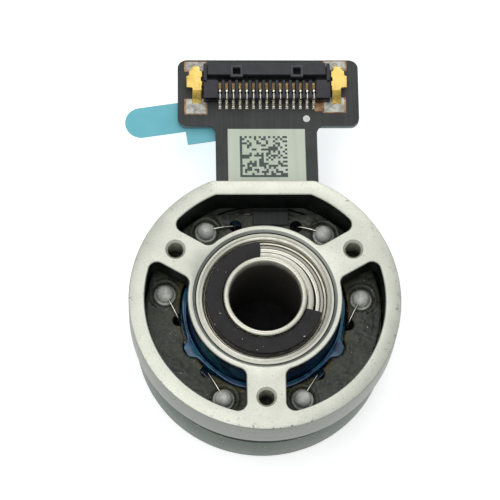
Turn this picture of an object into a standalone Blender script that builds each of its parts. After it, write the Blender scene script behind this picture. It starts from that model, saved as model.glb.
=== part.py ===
"""Hollow-shaft brushless gimbal motor: bracket, bearings, wound stator, rotor bell and connector tail.

The shaft's axis is Z. The rotor's rear face lies at Z = 0, the bracket's face looks up along +Z,
and the flexible tail leaves towards +Y. Dimensions are in millimetres until MM turns them to metres.
"""

import math

import bmesh
import bpy
from mathutils import Matrix, Vector

MM = 0.001

# Bracket
BODY_R = 9.75
FACE_Z = 9.0
RIM_LOW_Z = 5.8
RIM_INNER_R = 8.56
RIM_CHAMFER = 0.15
WEB_LOW_Z = 7.0
FLAT_Y = 9.0
HUB_R = 5.52
SEAT_CHAMFER = 0.13
SHOULDER_R = 4.6
TUBE_LOW_Z = 1.15
WINDOW_OUTER_R = 8.5
WINDOW_INNER_R = 5.6
WINDOW_FLAT_Y = 7.9
WINDOW_CORNER_R = 0.62
SPOKE_HALF_WIDTH = 1.4
SPOKE_ANGLES = (30, 150, 270)
WINDOW_ANGLES = (90, 210, 330)
SCREW_CIRCLE_R = 7.375
SCREW_HOLE_R = 0.57
SCREW_CHAMFER_R = 0.74
SCREW_CHAMFER_DEPTH = 0.17
TAIL_NOTCH_HALF_WIDTH = 4.1
TAIL_NOTCH_HIGH_Z = 6.1

# Bearings, 6 x 10 x 3
BEARING_R = 4.98
BEARING_BORE_R = 3.03
BEARING_HEIGHT = 3.0
FRONT_BEARING_Z = 5.9
REAR_BEARING_Z = 1.2
RACE_OUTER_LAND_R = 4.42
RACE_INNER_LAND_R = 3.52
RACE_CHAMFER = 0.1
BALL_R = 0.6
BALL_PITCH_R = 4.0
BALL_COUNT = 8
RUNNING_GAP = 0.03
CAGE_HALF_WIDTH = 0.25
CAGE_HALF_HEIGHT = 0.85
REAR_CAGE_HALF_HEIGHT = 0.3
SHIELD_INNER_R = 3.62
SHIELD_GROOVE_R = 3.97
SHIELD_GROOVE_HALF_WIDTH = 0.05
SHIELD_GROOVE_DEPTH = 0.08
SHIELD_THICKNESS = 0.22
SHIELD_SINK = 0.06

# Rotor
BELL_R = 9.25
BELL_INNER_R = 8.72
BELL_TOP_Z = 5.5
BELL_CHAMFER = 0.3
BELL_LIP_CHAMFER = 0.08
REAR_HOLE_DEPTH = 0.55
PLATE_TOP_Z = 0.7
BOSS_R = 4.1
BOSS_TOP_Z = 1.05
SHAFT_R = 2.99
SHAFT_BORE_R = 2.6
SHAFT_TOP_Z = 9.5
SHAFT_CHAMFER = 0.12
RING_INNER_R = 3.05
RING_OUTER_R = 4.37
RING_LOW_Z = 9.08
RING_TOP_Z = 9.33
RING_START = 95
RING_END = 344
MAGNET_INNER_R = 8.14
MAGNET_LOW_Z = 1.0
MAGNET_TOP_Z = 4.3

# Wound stator
TOOTH_COUNT = 9
CORE_BORE_R = 5.57
YOKE_R = 6.05
NECK_HALF_WIDTH = 0.6
SHOE_INNER_R = 7.45
SHOE_OUTER_R = 7.95
SHOE_HALF_ANGLE = 15.5
SHOE_LIP = 0.15
CORE_LOW_Z = 1.7
CORE_TOP_Z = 3.7
INSULATOR_THICKNESS = 0.2
INSULATOR_COLLAR_R = 5.98
INSULATOR_COLLAR_Z = 6.0
COIL_INNER_R = 6.12
COIL_OUTER_R = 7.38
COIL_THICKNESS = 0.45
COIL_GAP = 0.05
COIL_OUTER_CORNER = 0.35
COIL_INNER_CORNER = 0.1

# Wiring board with its soldered leads
BOARD_R = 8.35
BOARD_BORE_R = 6.1
BOARD_LOW_Z = 5.75
BOARD_TOP_Z = 6.15
BOARD_FLAT_Y = 7.5
CUP_R = 0.9
CUP_FLOOR_Z = 5.9
SOLDER_R = 0.65
LEAD_SLOT_R = 0.46
# Centre of each solder cup and of the slot that its lead comes through
SOLDER_PLACES = (
    ((7.07, 0.86), (6.06, -1.05)),
    ((4.45, 5.85), (2.45, 6.45)),
    ((-4.15, 6.08), (-1.97, 6.5)),
    ((-7.14, 1.25), (-6.12, -0.72)),
    ((-2.97, -6.67), (-4.15, -4.6)),
    ((2.69, -6.69), (3.87, -4.78)),
)
NOTCH_ANGLES = (208.5, 331.5)
NOTCH_CIRCLE_R = 5.65
NOTCH_R = 0.9
LEAD_R = 0.09
LEAD_END_RISE = 0.2
LEAD_STOP_GAP = 0.06
LEAD_EDGE_SHARE = 0.12
LEAD_CREST = 0.12
SENSOR_ANGLES = (60, 120)
SENSOR_CIRCLE_R = 6.75
SENSOR_THICKNESS = 0.45
SENSOR_HALF_SIZE = (0.3, 0.5)
SENSOR_CORNER_R = 0.04

# Flexible tail and its connector
TAIL_X = 0.43
TAIL_HALF_WIDTH = 3.78
ROOT_X = 0.6
ROOT_HALF_WIDTH = 1.3
ROOT_START_Y = 6.55
ROOT_BEND_Y = 7.5
ROOT_END_Y = 8.15
ROOT_Z = 6.27
SHOULDER_Y = 8.6
TAIL_BEND_Y = 9.7
TAIL_FLAT_Y = 14.5
TAIL_THICKNESS = 0.14
TAIL_LIP_Z = 5.69
PAD_X = 0.62
PAD_HALF_WIDTH = 6.77
PAD_LOW_Y = 14.9
PAD_HIGH_Y = 20.2
PAD_Z = 5.0
PAD_CORNER_R = 0.65
STIFFENER_LOW_Z = 4.5
STIFFENER_TOP_Z = 4.9
LABEL_X = 0.52
LABEL_HALF_WIDTH = 2.96
LABEL_START_Y = 9.25
LABEL_END_Y = 14.6
LABEL_THICKNESS = 0.05
LINER_Z = 4.4
LINER_THICKNESS = 0.07
LINER_TILT = 8.5
LINER_TAB_HALF_WIDTH = 1.2
LINER_TAB_END = (-8.88, 15.38)
LINER_SHEET_LOW = (3.18, -2.27)
LINER_SHEET_HIGH = (10.5, 2.4)
CONNECTOR_X = 0.5
CONNECTOR_BASE_Z = 5.1
CONNECTOR_TOP_Z = 6.02
HOUSING_FRONT_Y = 16.75
HOUSING_BACK_Y = 19.55
HOUSING_WALL_Y = 18.2
HOUSING_HALF_WIDTH = 4.72
HOUSING_SLOT_FLOOR_Z = 5.34
HOUSING_BASE_TOP_Z = 5.2
HOUSING_STEP_WIDTH = 0.2
HOUSING_STEP_DROP = 0.04
CHEEK_INNER_X = 4.46
CHEEK_INSET = 0.01
CHEEK_FRONT_Y = 17.9
CHEEK_BACK_Y = 19.45
CHEEK_LOW_Z = 5.13
CHEEK_TOP_Z = 6.0
BAND_WIDTH = 0.35
SOCKET_GAP = 0.04
CONTACT_COUNT = 15
CONTACT_PITCH = 0.5
CONTACT_HALF_WIDTH = 0.1
SLOT_HALF_WIDTH = 0.14
TUNNEL_HALF_WIDTH = 0.13
TUNNEL_TOP_Z = 5.64
CONTACT_TAIL = 0.5
CONTACT_THICKNESS = 0.14
CARRIER_WIDTH = 0.1
HOLD_DOWN_THICKNESS = 0.6
HOLD_DOWN_OUTLINE = (
    (4.79, 16.8), (5.64, 16.8), (5.64, 17.6), (6.05, 17.6), (6.05, 18.7), (5.85, 18.7),
    (5.85, 19.1), (5.6, 19.1), (5.6, 19.5), (4.99, 19.5), (4.99, 19.0), (4.79, 19.0),
)
LATCH_HALF_WIDTH = 4.42
LATCH_FRONT_Y = 18.66
LATCH_BACK_Y = 19.6
LATCH_LOW_Z = 5.45
LATCH_TOP_Z = 5.95
LATCH_AXIS_Y = 18.8
LATCH_AXIS_Z = 5.7
LATCH_PIN_R = 0.12
LATCH_PIN_END = 4.62
LATCH_PIN_ROOT = 0.3
LATCH_FRAME_X = 2.25
LATCH_FRAME_HALF_WIDTH = 0.48
LATCH_FRAME_REACH = 0.2
LATCH_HOLE_HALF_WIDTH = 0.29
LATCH_HOLE_CORNER_R = 0.05

# Facets round a full circle
ROUND = 64
FINE = 40
SMALL = 12

SEAM = 0.03
OVERRUN = 0.5
MATERIALS = {}


def clear_scene():
    for obj in list(bpy.data.objects):
        bpy.data.objects.remove(obj, do_unlink=True)


def material(name, colour, metallic, roughness):
    """The Principled material of this name, made on first use."""
    if name not in MATERIALS:
        made = bpy.data.materials.new(name)
        made.use_nodes = True
        shader = made.node_tree.nodes["Principled BSDF"]
        shader.inputs["Base Color"].default_value = (*colour, 1.0)
        shader.inputs["Metallic"].default_value = metallic
        shader.inputs["Roughness"].default_value = roughness
        MATERIALS[name] = made
    return MATERIALS[name]


def aluminium():
    return material("satin_aluminium", (0.74, 0.74, 0.70), 1.0, 0.42)


def grey_metal():
    return material("grey_anodised_metal", (0.30, 0.33, 0.31), 1.0, 0.45)


def steel():
    return material("bearing_steel", (0.72, 0.70, 0.64), 1.0, 0.22)


def black_steel():
    return material("blackened_steel", (0.03, 0.03, 0.035), 0.6, 0.5)


def magnet_grey():
    return material("nickel_magnet", (0.45, 0.45, 0.44), 1.0, 0.35)


def lamination():
    return material("lamination_steel", (0.25, 0.25, 0.26), 1.0, 0.5)


def insulation():
    return material("blue_insulation", (0.02, 0.10, 0.22), 0.0, 0.35)


def copper():
    return material("enamelled_copper", (0.55, 0.20, 0.07), 1.0, 0.3)


def tinned():
    return material("solder", (0.62, 0.63, 0.60), 1.0, 0.35)


def board_green():
    return material("potted_board", (0.05, 0.06, 0.05), 0.0, 0.4)


def flex_grey():
    return material("flexible_circuit", (0.06, 0.065, 0.065), 0.0, 0.5)


def label_white():
    return material("label_paper", (0.60, 0.66, 0.56), 0.0, 0.6)


def liner_blue():
    return material("release_liner", (0.16, 0.55, 0.63), 0.0, 0.45)


def black_plastic():
    return material("connector_plastic", (0.03, 0.03, 0.04), 0.0, 0.45)


def gold():
    return material("gold_plate", (0.85, 0.62, 0.20), 1.0, 0.28)


def cage_plastic():
    return material("cage_polymer", (0.35, 0.30, 0.22), 0.0, 0.5)


def polar(radius, degrees):
    angle = math.radians(degrees)
    return (radius * math.cos(angle), radius * math.sin(angle))


def add_object(name, bm, finish):
    """Turns a bmesh made in millimetres into a named object in metres, shaded smooth."""
    bmesh.ops.scale(bm, vec=(MM, MM, MM), verts=bm.verts)
    bmesh.ops.recalc_face_normals(bm, faces=bm.faces)
    mesh = bpy.data.meshes.new(name)
    bm.to_mesh(mesh)
    bm.free()
    mesh.shade_smooth()
    mesh.set_sharp_from_angle(angle=math.radians(32))
    mesh.materials.append(finish)
    obj = bpy.data.objects.new(name, mesh)
    bpy.context.scene.collection.objects.link(obj)
    return obj


def turned(profile, segments):
    """A shape turned about Z. A profile that starts on the axis ends there; any other is a closed loop."""
    bm = bmesh.new()
    rings = []
    for radius, height in profile:
        count = segments if radius else 1
        corners = (polar(radius, 360 * i / count) for i in range(count))
        rings.append([bm.verts.new((x, y, height)) for x, y in corners])
    pairs = list(zip(rings, rings[1:]))
    if profile[0][0]:
        pairs.append((rings[-1], rings[0]))
    for first, second in pairs:
        for i in range(segments):
            j = (i + 1) % segments
            near = [first[i % len(first)], first[j % len(first)]]
            far = [second[j % len(second)], second[i % len(second)]]
            bm.faces.new(list(dict.fromkeys(near + far)))
    return bm


def extruded(outlines, low, high):
    """A prism between two heights. The first outline of (x, y) points is its edge, the others are holes."""
    bm = bmesh.new()
    levels = []
    for height in (low, high):
        loops = [[bm.verts.new((x, y, height)) for x, y in outline] for outline in outlines]
        edges = [bm.edges.new((a, b)) for loop in loops for a, b in zip(loop, loop[1:] + loop[:1])]
        bmesh.ops.triangle_fill(bm, edges=edges, use_beauty=True)
        levels.append(loops)
    for lower, upper in zip(*levels):
        for i in range(len(lower)):
            j = (i + 1) % len(lower)
            bm.faces.new((lower[i], lower[j], upper[j], upper[i]))
    return bm


def box(low, high):
    outline = [(low[0], low[1]), (high[0], low[1]), (high[0], high[1]), (low[0], high[1])]
    return extruded([outline], low[2], high[2])


def circle(radius, count, centre=(0, 0)):
    corners = (polar(radius, 360 * i / count) for i in range(count))
    return [(centre[0] + x, centre[1] + y) for x, y in corners]


def arc(centre, radius, start, end, steps):
    """Points on an arc, both ends included, turning the short or long way that start and end give."""
    angles = (start + (end - start) * i / steps for i in range(steps + 1))
    return [(centre[0] + x, centre[1] + y) for x, y in (polar(radius, a) for a in angles)]


def rounded_rectangle(half_width, half_height, radius, steps=3):
    outline = []
    for index, (sx, sy) in enumerate(((1, 1), (-1, 1), (-1, -1), (1, -1))):
        centre = (sx * (half_width - radius), sy * (half_height - radius))
        outline += arc(centre, radius, 90 * index, 90 * index + 90, steps)
    return outline


def cutter(name, bm):
    obj = add_object(name, bm, black_plastic())
    obj.hide_render = True
    obj.display_type = "WIRE"
    return obj


def combine(obj, tool, operation="DIFFERENCE"):
    modifier = obj.modifiers.new(f"{operation.lower()}_{tool.name}", "BOOLEAN")
    modifier.operation = operation
    modifier.solver = "EXACT"
    modifier.object = tool


def joined(parts):
    """One bmesh that holds every given bmesh."""
    whole = bmesh.new()
    for part in parts:
        mesh = bpy.data.meshes.new("joined")
        part.to_mesh(mesh)
        part.free()
        whole.from_mesh(mesh)
        bpy.data.meshes.remove(mesh)
    return whole


def moved(bm, matrix):
    bmesh.ops.transform(bm, matrix=matrix, verts=bm.verts)
    return bm


def window_outline(centre_angle):
    """A sector between two spokes, with a fillet in each corner."""
    fillet = WINDOW_CORNER_R
    outer = WINDOW_OUTER_R - fillet
    inner = WINDOW_INNER_R + fillet
    reach = SPOKE_HALF_WIDTH + fillet
    outer_lean = math.degrees(math.asin(reach / outer))
    inner_lean = math.degrees(math.asin(reach / inner))
    right = centre_angle - 60
    left = centre_angle + 60
    points = arc(polar(inner, right + inner_lean), fillet, right + inner_lean + 180, right + 270, 4)
    points += arc(polar(outer, right + outer_lean), fillet, right - 90, right + outer_lean, 4)
    points += arc((0, 0), WINDOW_OUTER_R, right + outer_lean + 3, left - outer_lean - 3, 16)
    points += arc(polar(outer, left - outer_lean), fillet, left - outer_lean, left + 90, 4)
    points += arc(polar(inner, left - inner_lean), fillet, left + 90, left - inner_lean + 180, 4)
    points += arc((0, 0), WINDOW_INNER_R, left - inner_lean - 3, right + inner_lean + 3, 10)
    return [(x, min(y, WINDOW_FLAT_Y)) for x, y in points]


def bracket_profile():
    seat_top = FACE_Z - SEAT_CHAMFER
    seat_low = FRONT_BEARING_Z - SEAM
    rear_seat = REAR_BEARING_Z + BEARING_HEIGHT + SEAM
    seat_r = BEARING_R + SEAM / 2
    return [
        (BODY_R - RIM_CHAMFER, FACE_Z),
        (BODY_R, FACE_Z - RIM_CHAMFER),
        (BODY_R, RIM_LOW_Z + RIM_CHAMFER),
        (BODY_R - RIM_CHAMFER, RIM_LOW_Z),
        (RIM_INNER_R, RIM_LOW_Z),
        (RIM_INNER_R, WEB_LOW_Z),
        (HUB_R, WEB_LOW_Z),
        (HUB_R, TUBE_LOW_Z),
        (seat_r, TUBE_LOW_Z),
        (seat_r, rear_seat),
        (SHOULDER_R, rear_seat),
        (SHOULDER_R, seat_low),
        (seat_r, seat_low),
        (seat_r, seat_top),
        (seat_r + SEAT_CHAMFER, FACE_Z),
    ]


def screw_cutters():
    """Three through holes with a chamfer at the face, on the screw circle."""
    high = FACE_Z + OVERRUN
    slope = (SCREW_CHAMFER_R - SCREW_HOLE_R) / SCREW_CHAMFER_DEPTH
    chamfer_r = SCREW_CHAMFER_R + OVERRUN * slope
    profile = [
        (0, WEB_LOW_Z - OVERRUN),
        (SCREW_HOLE_R, WEB_LOW_Z - OVERRUN),
        (SCREW_HOLE_R, FACE_Z - SCREW_CHAMFER_DEPTH),
        (chamfer_r, high),
        (0, high),
    ]
    places = (polar(SCREW_CIRCLE_R, angle) for angle in SPOKE_ANGLES)
    return joined(
        moved(turned(profile, SMALL), Matrix.Translation((x, y, 0))) for x, y in places
    )


def front_bracket():
    bracket = add_object("front_bracket", turned(bracket_profile(), ROUND), aluminium())
    windows = joined(
        extruded([window_outline(angle)], WEB_LOW_Z - OVERRUN, FACE_Z + OVERRUN)
        for angle in WINDOW_ANGLES
    )
    combine(bracket, cutter("window_cutters", windows))
    combine(bracket, cutter("screw_hole_cutters", screw_cutters()))
    flat_low = (-BODY_R, FLAT_Y, RIM_LOW_Z - OVERRUN)
    flat = box(flat_low, (BODY_R, BODY_R + OVERRUN, FACE_Z + OVERRUN))
    combine(bracket, cutter("flat_cutter", flat))
    notch_low = (TAIL_X - TAIL_NOTCH_HALF_WIDTH, SHOE_INNER_R, RIM_LOW_Z - OVERRUN)
    notch_high = (TAIL_X + TAIL_NOTCH_HALF_WIDTH, BODY_R + OVERRUN, TAIL_NOTCH_HIGH_Z)
    combine(bracket, cutter("tail_notch_cutter", box(notch_low, notch_high)))


def race_profile(bore, outside, low, groove_side):
    """A bearing race with chamfered corners and a round ball groove in one wall."""
    high = low + BEARING_HEIGHT
    middle = low + BEARING_HEIGHT / 2
    clearance_r = BALL_R + RUNNING_GAP
    wall = outside if groove_side > 0 else bore
    reach = abs(wall - BALL_PITCH_R)
    half = math.degrees(math.acos(reach / clearance_r))
    facing = 180 if groove_side > 0 else 0
    groove = arc((BALL_PITCH_R, middle), clearance_r, facing + half, facing - half, 3)
    edge = RACE_CHAMFER
    if groove_side > 0:
        return [(bore + edge, low), (outside, low), *groove, (outside, high), (bore + edge, high),
                (bore, high - edge), (bore, low + edge)]
    return [(bore, low), (outside - edge, low), (outside, low + edge), (outside, high - edge),
            (outside - edge, high), (bore, high), *groove]


def shield_profile(low):
    """A dished shield with a ring pressed into it, held in the outer race."""
    outer = RACE_OUTER_LAND_R - SEAM
    top = low + BEARING_HEIGHT - SHIELD_SINK
    bottom = top - SHIELD_THICKNESS
    half = SHIELD_GROOVE_HALF_WIDTH
    groove = top - SHIELD_GROOVE_DEPTH
    return [
        (SHIELD_INNER_R, bottom),
        (outer, bottom),
        (outer, top),
        (SHIELD_GROOVE_R + half, top),
        (SHIELD_GROOVE_R + half, groove),
        (SHIELD_GROOVE_R - half, groove),
        (SHIELD_GROOVE_R - half, top),
        (SHIELD_INNER_R, top),
    ]


def ball(angle, middle, rings, segments):
    profile = arc((0, 0), BALL_R, -90, 90, rings)
    profile = [(0, -BALL_R), *profile[1:-1], (0, BALL_R)]
    x, y = polar(BALL_PITCH_R, angle)
    return moved(turned(profile, segments), Matrix.Translation((x, y, middle)))


def ball_angles():
    return [360 * i / BALL_COUNT for i in range(BALL_COUNT)]


def bearing_races(name, low):
    inner = race_profile(BEARING_BORE_R, RACE_INNER_LAND_R, low, 1)
    outer = race_profile(RACE_OUTER_LAND_R, BEARING_R, low, -1)
    add_object(f"{name}_bearing_inner_race", turned(inner, FINE), steel())
    add_object(f"{name}_bearing_outer_race", turned(outer, FINE), steel())


def cage_ring(middle, half_height):
    low = middle - half_height
    high = middle + half_height
    inner = BALL_PITCH_R - CAGE_HALF_WIDTH
    outer = BALL_PITCH_R + CAGE_HALF_WIDTH
    return turned([(outer, high), (outer, low), (inner, low), (inner, high)], FINE)


def front_bearing():
    bearing_races("front", FRONT_BEARING_Z)
    shield = turned(shield_profile(FRONT_BEARING_Z), FINE)
    add_object("front_bearing_shield", shield, steel())
    middle = FRONT_BEARING_Z + BEARING_HEIGHT / 2
    cage = add_object("front_bearing_cage", cage_ring(middle, CAGE_HALF_HEIGHT), cage_plastic())
    pocket_r = BALL_R + RUNNING_GAP
    near = BALL_PITCH_R - 2 * BALL_R
    far = BALL_PITCH_R + 2 * BALL_R
    pockets = []
    for number, angle in enumerate(ball_angles(), start=1):
        add_object(f"front_bearing_ball_{number}", ball(angle, middle, 6, 10), steel())
        pocket = turned([(0, near), (pocket_r, near), (pocket_r, far), (0, far)], SMALL)
        turn = Matrix.Rotation(math.radians(angle), 4, "Z") @ Matrix.Rotation(math.radians(90), 4, "Y")
        pockets.append(moved(pocket, Matrix.Translation((0, 0, middle)) @ turn))
    combine(cage, cutter("cage_pocket_cutters", joined(pockets)))


def rear_bearing():
    """The rear bearing's balls and cage turn together as one piece."""
    bearing_races("rear", REAR_BEARING_Z)
    middle = REAR_BEARING_Z + BEARING_HEIGHT / 2
    ball_set = add_object("rear_bearing_ball_set", cage_ring(middle, REAR_CAGE_HALF_HEIGHT), cage_plastic())
    balls = joined(ball(angle, middle, 6, 8) for angle in ball_angles())
    combine(ball_set, cutter("rear_ball_shapes", balls), "UNION")


def bell_profile():
    return [
        (0, 0),
        (BELL_R - BELL_CHAMFER, 0),
        (BELL_R, BELL_CHAMFER),
        (BELL_R, BELL_TOP_Z - BELL_LIP_CHAMFER),
        (BELL_R - BELL_LIP_CHAMFER, BELL_TOP_Z),
        (BELL_INNER_R, BELL_TOP_Z),
        (BELL_INNER_R, PLATE_TOP_Z),
        (BOSS_R, PLATE_TOP_Z),
        (BOSS_R, BOSS_TOP_Z),
        (SHAFT_R + SEAM, BOSS_TOP_Z),
        (SHAFT_R + SEAM, PLATE_TOP_Z),
        (0, PLATE_TOP_Z),
    ]


def rotor():
    bell = add_object("rotor_bell", turned(bell_profile(), ROUND), grey_metal())
    hole = [
        (0, -OVERRUN),
        (SCREW_HOLE_R, -OVERRUN),
        (SCREW_HOLE_R, REAR_HOLE_DEPTH),
        (0, REAR_HOLE_DEPTH),
    ]
    places = [polar(SCREW_CIRCLE_R, angle) for angle in SPOKE_ANGLES]
    holes = joined(moved(turned(hole, SMALL), Matrix.Translation((x, y, 0))) for x, y in places)
    combine(bell, cutter("rear_hole_cutters", holes))
    edge = SHAFT_CHAMFER
    shaft_low = PLATE_TOP_Z + SEAM
    shaft = [
        (SHAFT_R, shaft_low),
        (SHAFT_R, SHAFT_TOP_Z - edge),
        (SHAFT_R - edge, SHAFT_TOP_Z),
        (SHAFT_BORE_R + edge, SHAFT_TOP_Z),
        (SHAFT_BORE_R, SHAFT_TOP_Z - edge),
        (SHAFT_BORE_R, shaft_low),
    ]
    add_object("hollow_shaft", turned(shaft, FINE), steel())
    outer = BELL_INNER_R - SEAM
    magnet = [
        (MAGNET_INNER_R, MAGNET_LOW_Z),
        (outer, MAGNET_LOW_Z),
        (outer, MAGNET_TOP_Z),
        (MAGNET_INNER_R, MAGNET_TOP_Z),
    ]
    add_object("magnet_ring", turned(magnet, ROUND), magnet_grey())


def retaining_ring():
    outline = arc((0, 0), RING_OUTER_R, RING_START, RING_END, 30)
    outline += arc((0, 0), RING_INNER_R, RING_END, RING_START, 30)
    add_object("retaining_ring", extruded([outline], RING_LOW_Z, RING_TOP_Z), black_steel())


def core_outline():
    """The outline of the laminated core: a yoke, and teeth that end in wide shoes."""
    neck = NECK_HALF_WIDTH
    outline = []
    for index in range(TOOTH_COUNT):
        middle = 90 + 360 * index / TOOTH_COUNT
        root = math.degrees(math.asin(neck / YOKE_R))
        tip = math.degrees(math.asin(neck / SHOE_INNER_R))
        outline.append(polar(YOKE_R, middle - root))
        outline.append(polar(SHOE_INNER_R, middle - tip))
        outline.append(polar(SHOE_INNER_R + SHOE_LIP, middle - SHOE_HALF_ANGLE))
        outline += arc((0, 0), SHOE_OUTER_R, middle - SHOE_HALF_ANGLE, middle + SHOE_HALF_ANGLE, 3)
        outline.append(polar(SHOE_INNER_R + SHOE_LIP, middle + SHOE_HALF_ANGLE))
        outline.append(polar(SHOE_INNER_R, middle + tip))
        outline.append(polar(YOKE_R, middle + root))
        gap = 360 / TOOTH_COUNT - 2 * root
        outline += [polar(YOKE_R, middle + root + gap * step / 3) for step in (1, 2)]
    return outline


def stator_core():
    bore = circle(CORE_BORE_R, FINE)
    add_object("stator_core", extruded([core_outline(), bore], CORE_LOW_Z, CORE_TOP_Z), lamination())
    thickness = INSULATOR_THICKNESS
    rear = extruded([core_outline(), bore], CORE_LOW_Z - SEAM - thickness, CORE_LOW_Z - SEAM)
    add_object("rear_core_insulator", rear, insulation())
    front = extruded([core_outline(), bore], CORE_TOP_Z + SEAM, CORE_TOP_Z + SEAM + thickness)
    insulator = add_object("front_core_insulator", front, insulation())
    low = CORE_TOP_Z + SEAM + thickness / 2
    inner = CORE_BORE_R + 0.04
    collar = [
        (INSULATOR_COLLAR_R, INSULATOR_COLLAR_Z),
        (INSULATOR_COLLAR_R, low),
        (inner, low),
        (inner, INSULATOR_COLLAR_Z),
    ]
    combine(insulator, cutter("insulator_collar", turned(collar, FINE)), "UNION")


def coils():
    """A winding round each tooth, made as a rounded frame that is extruded outwards."""
    middle = (CORE_LOW_Z + CORE_TOP_Z) / 2
    inner_half_width = NECK_HALF_WIDTH + COIL_GAP
    inner_half_height = (CORE_TOP_Z - CORE_LOW_Z) / 2 + SEAM + INSULATOR_THICKNESS + COIL_GAP
    hole = rounded_rectangle(inner_half_width, inner_half_height, COIL_INNER_CORNER, 1)
    edge = rounded_rectangle(
        inner_half_width + COIL_THICKNESS, inner_half_height + COIL_THICKNESS, COIL_OUTER_CORNER
    )
    for index in range(TOOTH_COUNT):
        turn = Matrix.Rotation(math.radians(360 * index / TOOTH_COUNT), 4, "Z")
        upright = Matrix.Rotation(math.radians(-90), 4, "X")
        coil = moved(extruded([edge, hole], COIL_INNER_R, COIL_OUTER_R), upright)
        coil = moved(coil, turn @ Matrix.Translation((0, 0, middle)))
        add_object(f"coil_{index + 1}", coil, copper())


def wiring_board():
    lean = math.degrees(math.asin(BOARD_FLAT_Y / BOARD_R))
    outline = arc((0, 0), BOARD_R, 180 - lean, 360 + lean, ROUND)
    board = extruded([outline, circle(BOARD_BORE_R, ROUND)], BOARD_LOW_Z, BOARD_TOP_Z)
    obj = add_object("wiring_board", board, board_green())
    cups = []
    slots = []
    for cup_centre, slot_centre in SOLDER_PLACES:
        cup = circle(CUP_R, SMALL, cup_centre)
        cups.append(extruded([cup], CUP_FLOOR_Z, BOARD_TOP_Z + OVERRUN))
        slot = circle(LEAD_SLOT_R, SMALL, slot_centre)
        slots.append(extruded([slot], BOARD_LOW_Z - OVERRUN, BOARD_TOP_Z + OVERRUN))
    for angle in NOTCH_ANGLES:
        notch = circle(NOTCH_R, SMALL, polar(NOTCH_CIRCLE_R, angle))
        slots.append(extruded([notch], BOARD_LOW_Z - OVERRUN, BOARD_TOP_Z + OVERRUN))
    combine(obj, cutter("solder_cup_cutters", joined(cups)))
    combine(obj, cutter("lead_slot_cutters", joined(slots)))


def lead(name, points):
    """A short bare wire through the given points."""
    curve = bpy.data.curves.new(name, "CURVE")
    curve.dimensions = "3D"
    curve.bevel_depth = LEAD_R * MM
    curve.bevel_resolution = 1
    curve.use_fill_caps = True
    spline = curve.splines.new("POLY")
    spline.points.add(len(points) - 1)
    for knot, point in zip(spline.points, points):
        knot.co = (*(value * MM for value in point), 1.0)
    curve.materials.append(tinned())
    obj = bpy.data.objects.new(name, curve)
    bpy.context.scene.collection.objects.link(obj)


def solder_joints():
    """A dome of solder in each cup, and the lead that comes up to it."""
    dome = arc((0, 0), SOLDER_R, -20, 90, 5)[:-1]
    low = CUP_FLOOR_Z + SEAM - BOARD_TOP_Z
    foot_r = dome[0][0]
    for number, (cup_centre, slot_centre) in enumerate(SOLDER_PLACES, start=1):
        shape = turned([(0, low), (foot_r, low), *dome, (0, SOLDER_R)], SMALL)
        shape = moved(shape, Matrix.Translation((*cup_centre, BOARD_TOP_Z)))
        add_object(f"solder_joint_{number}", shape, tinned())
        slot = Vector((*slot_centre, BOARD_LOW_Z))
        cup = Vector((*cup_centre, BOARD_TOP_Z + LEAD_END_RISE))
        level = Vector((slot.x, slot.y, cup.z))
        stop = cup + (level - cup).normalized() * (SOLDER_R + LEAD_STOP_GAP)
        edge = slot.lerp(Vector((stop.x, stop.y, slot.z)), LEAD_EDGE_SHARE)
        over = Vector((edge.x, edge.y, BOARD_TOP_Z + LEAD_R))
        crest = over.lerp(stop, 0.5) + Vector((0, 0, LEAD_CREST))
        lead(f"coil_lead_{number}", [slot, over, crest, stop])


def angle_sensors():
    outline = rounded_rectangle(*SENSOR_HALF_SIZE, SENSOR_CORNER_R, 1)
    for number, angle in enumerate(SENSOR_ANGLES, start=1):
        x, y = polar(SENSOR_CIRCLE_R, angle)
        body = extruded([outline], -SENSOR_THICKNESS, 0.0)
        turn = Matrix.Rotation(math.radians(angle), 4, "Z")
        body = moved(body, Matrix.Translation((x, y, BOARD_LOW_Z - SEAM)) @ turn)
        add_object(f"angle_sensor_{number}", body, black_plastic())


def eased(value, low, high):
    """A share from 0 to 1 that starts and ends gently as value goes from low to high."""
    share = min(max((value - low) / (high - low), 0), 1)
    return share * share * (3 - 2 * share)


def tail_height(y):
    """Height of the flexible circuit's middle: off the board, over the bell's lip, down to the pad."""
    dip = (TAIL_LIP_Z - ROOT_Z) * eased(y, ROOT_BEND_Y, ROOT_END_Y)
    return ROOT_Z + dip + (PAD_Z - TAIL_LIP_Z) * eased(y, TAIL_BEND_Y, TAIL_FLAT_Y)


def strip(stations, thickness, lift=0.0):
    """A sheet through stations of (y, left, right) that follows the tail's height."""
    bm = bmesh.new()
    rows = []
    for y, left, right in stations:
        middle = tail_height(y) + lift
        low = middle - thickness / 2
        high = middle + thickness / 2
        corners = ((left, low), (right, low), (right, high), (left, high))
        rows.append([bm.verts.new((x, y, z)) for x, z in corners])
    for first, second in zip(rows, rows[1:]):
        for i in range(4):
            j = (i + 1) % 4
            bm.faces.new((first[i], first[j], second[j], second[i]))
    bm.faces.new(rows[0])
    bm.faces.new(rows[-1])
    return bm


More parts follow.
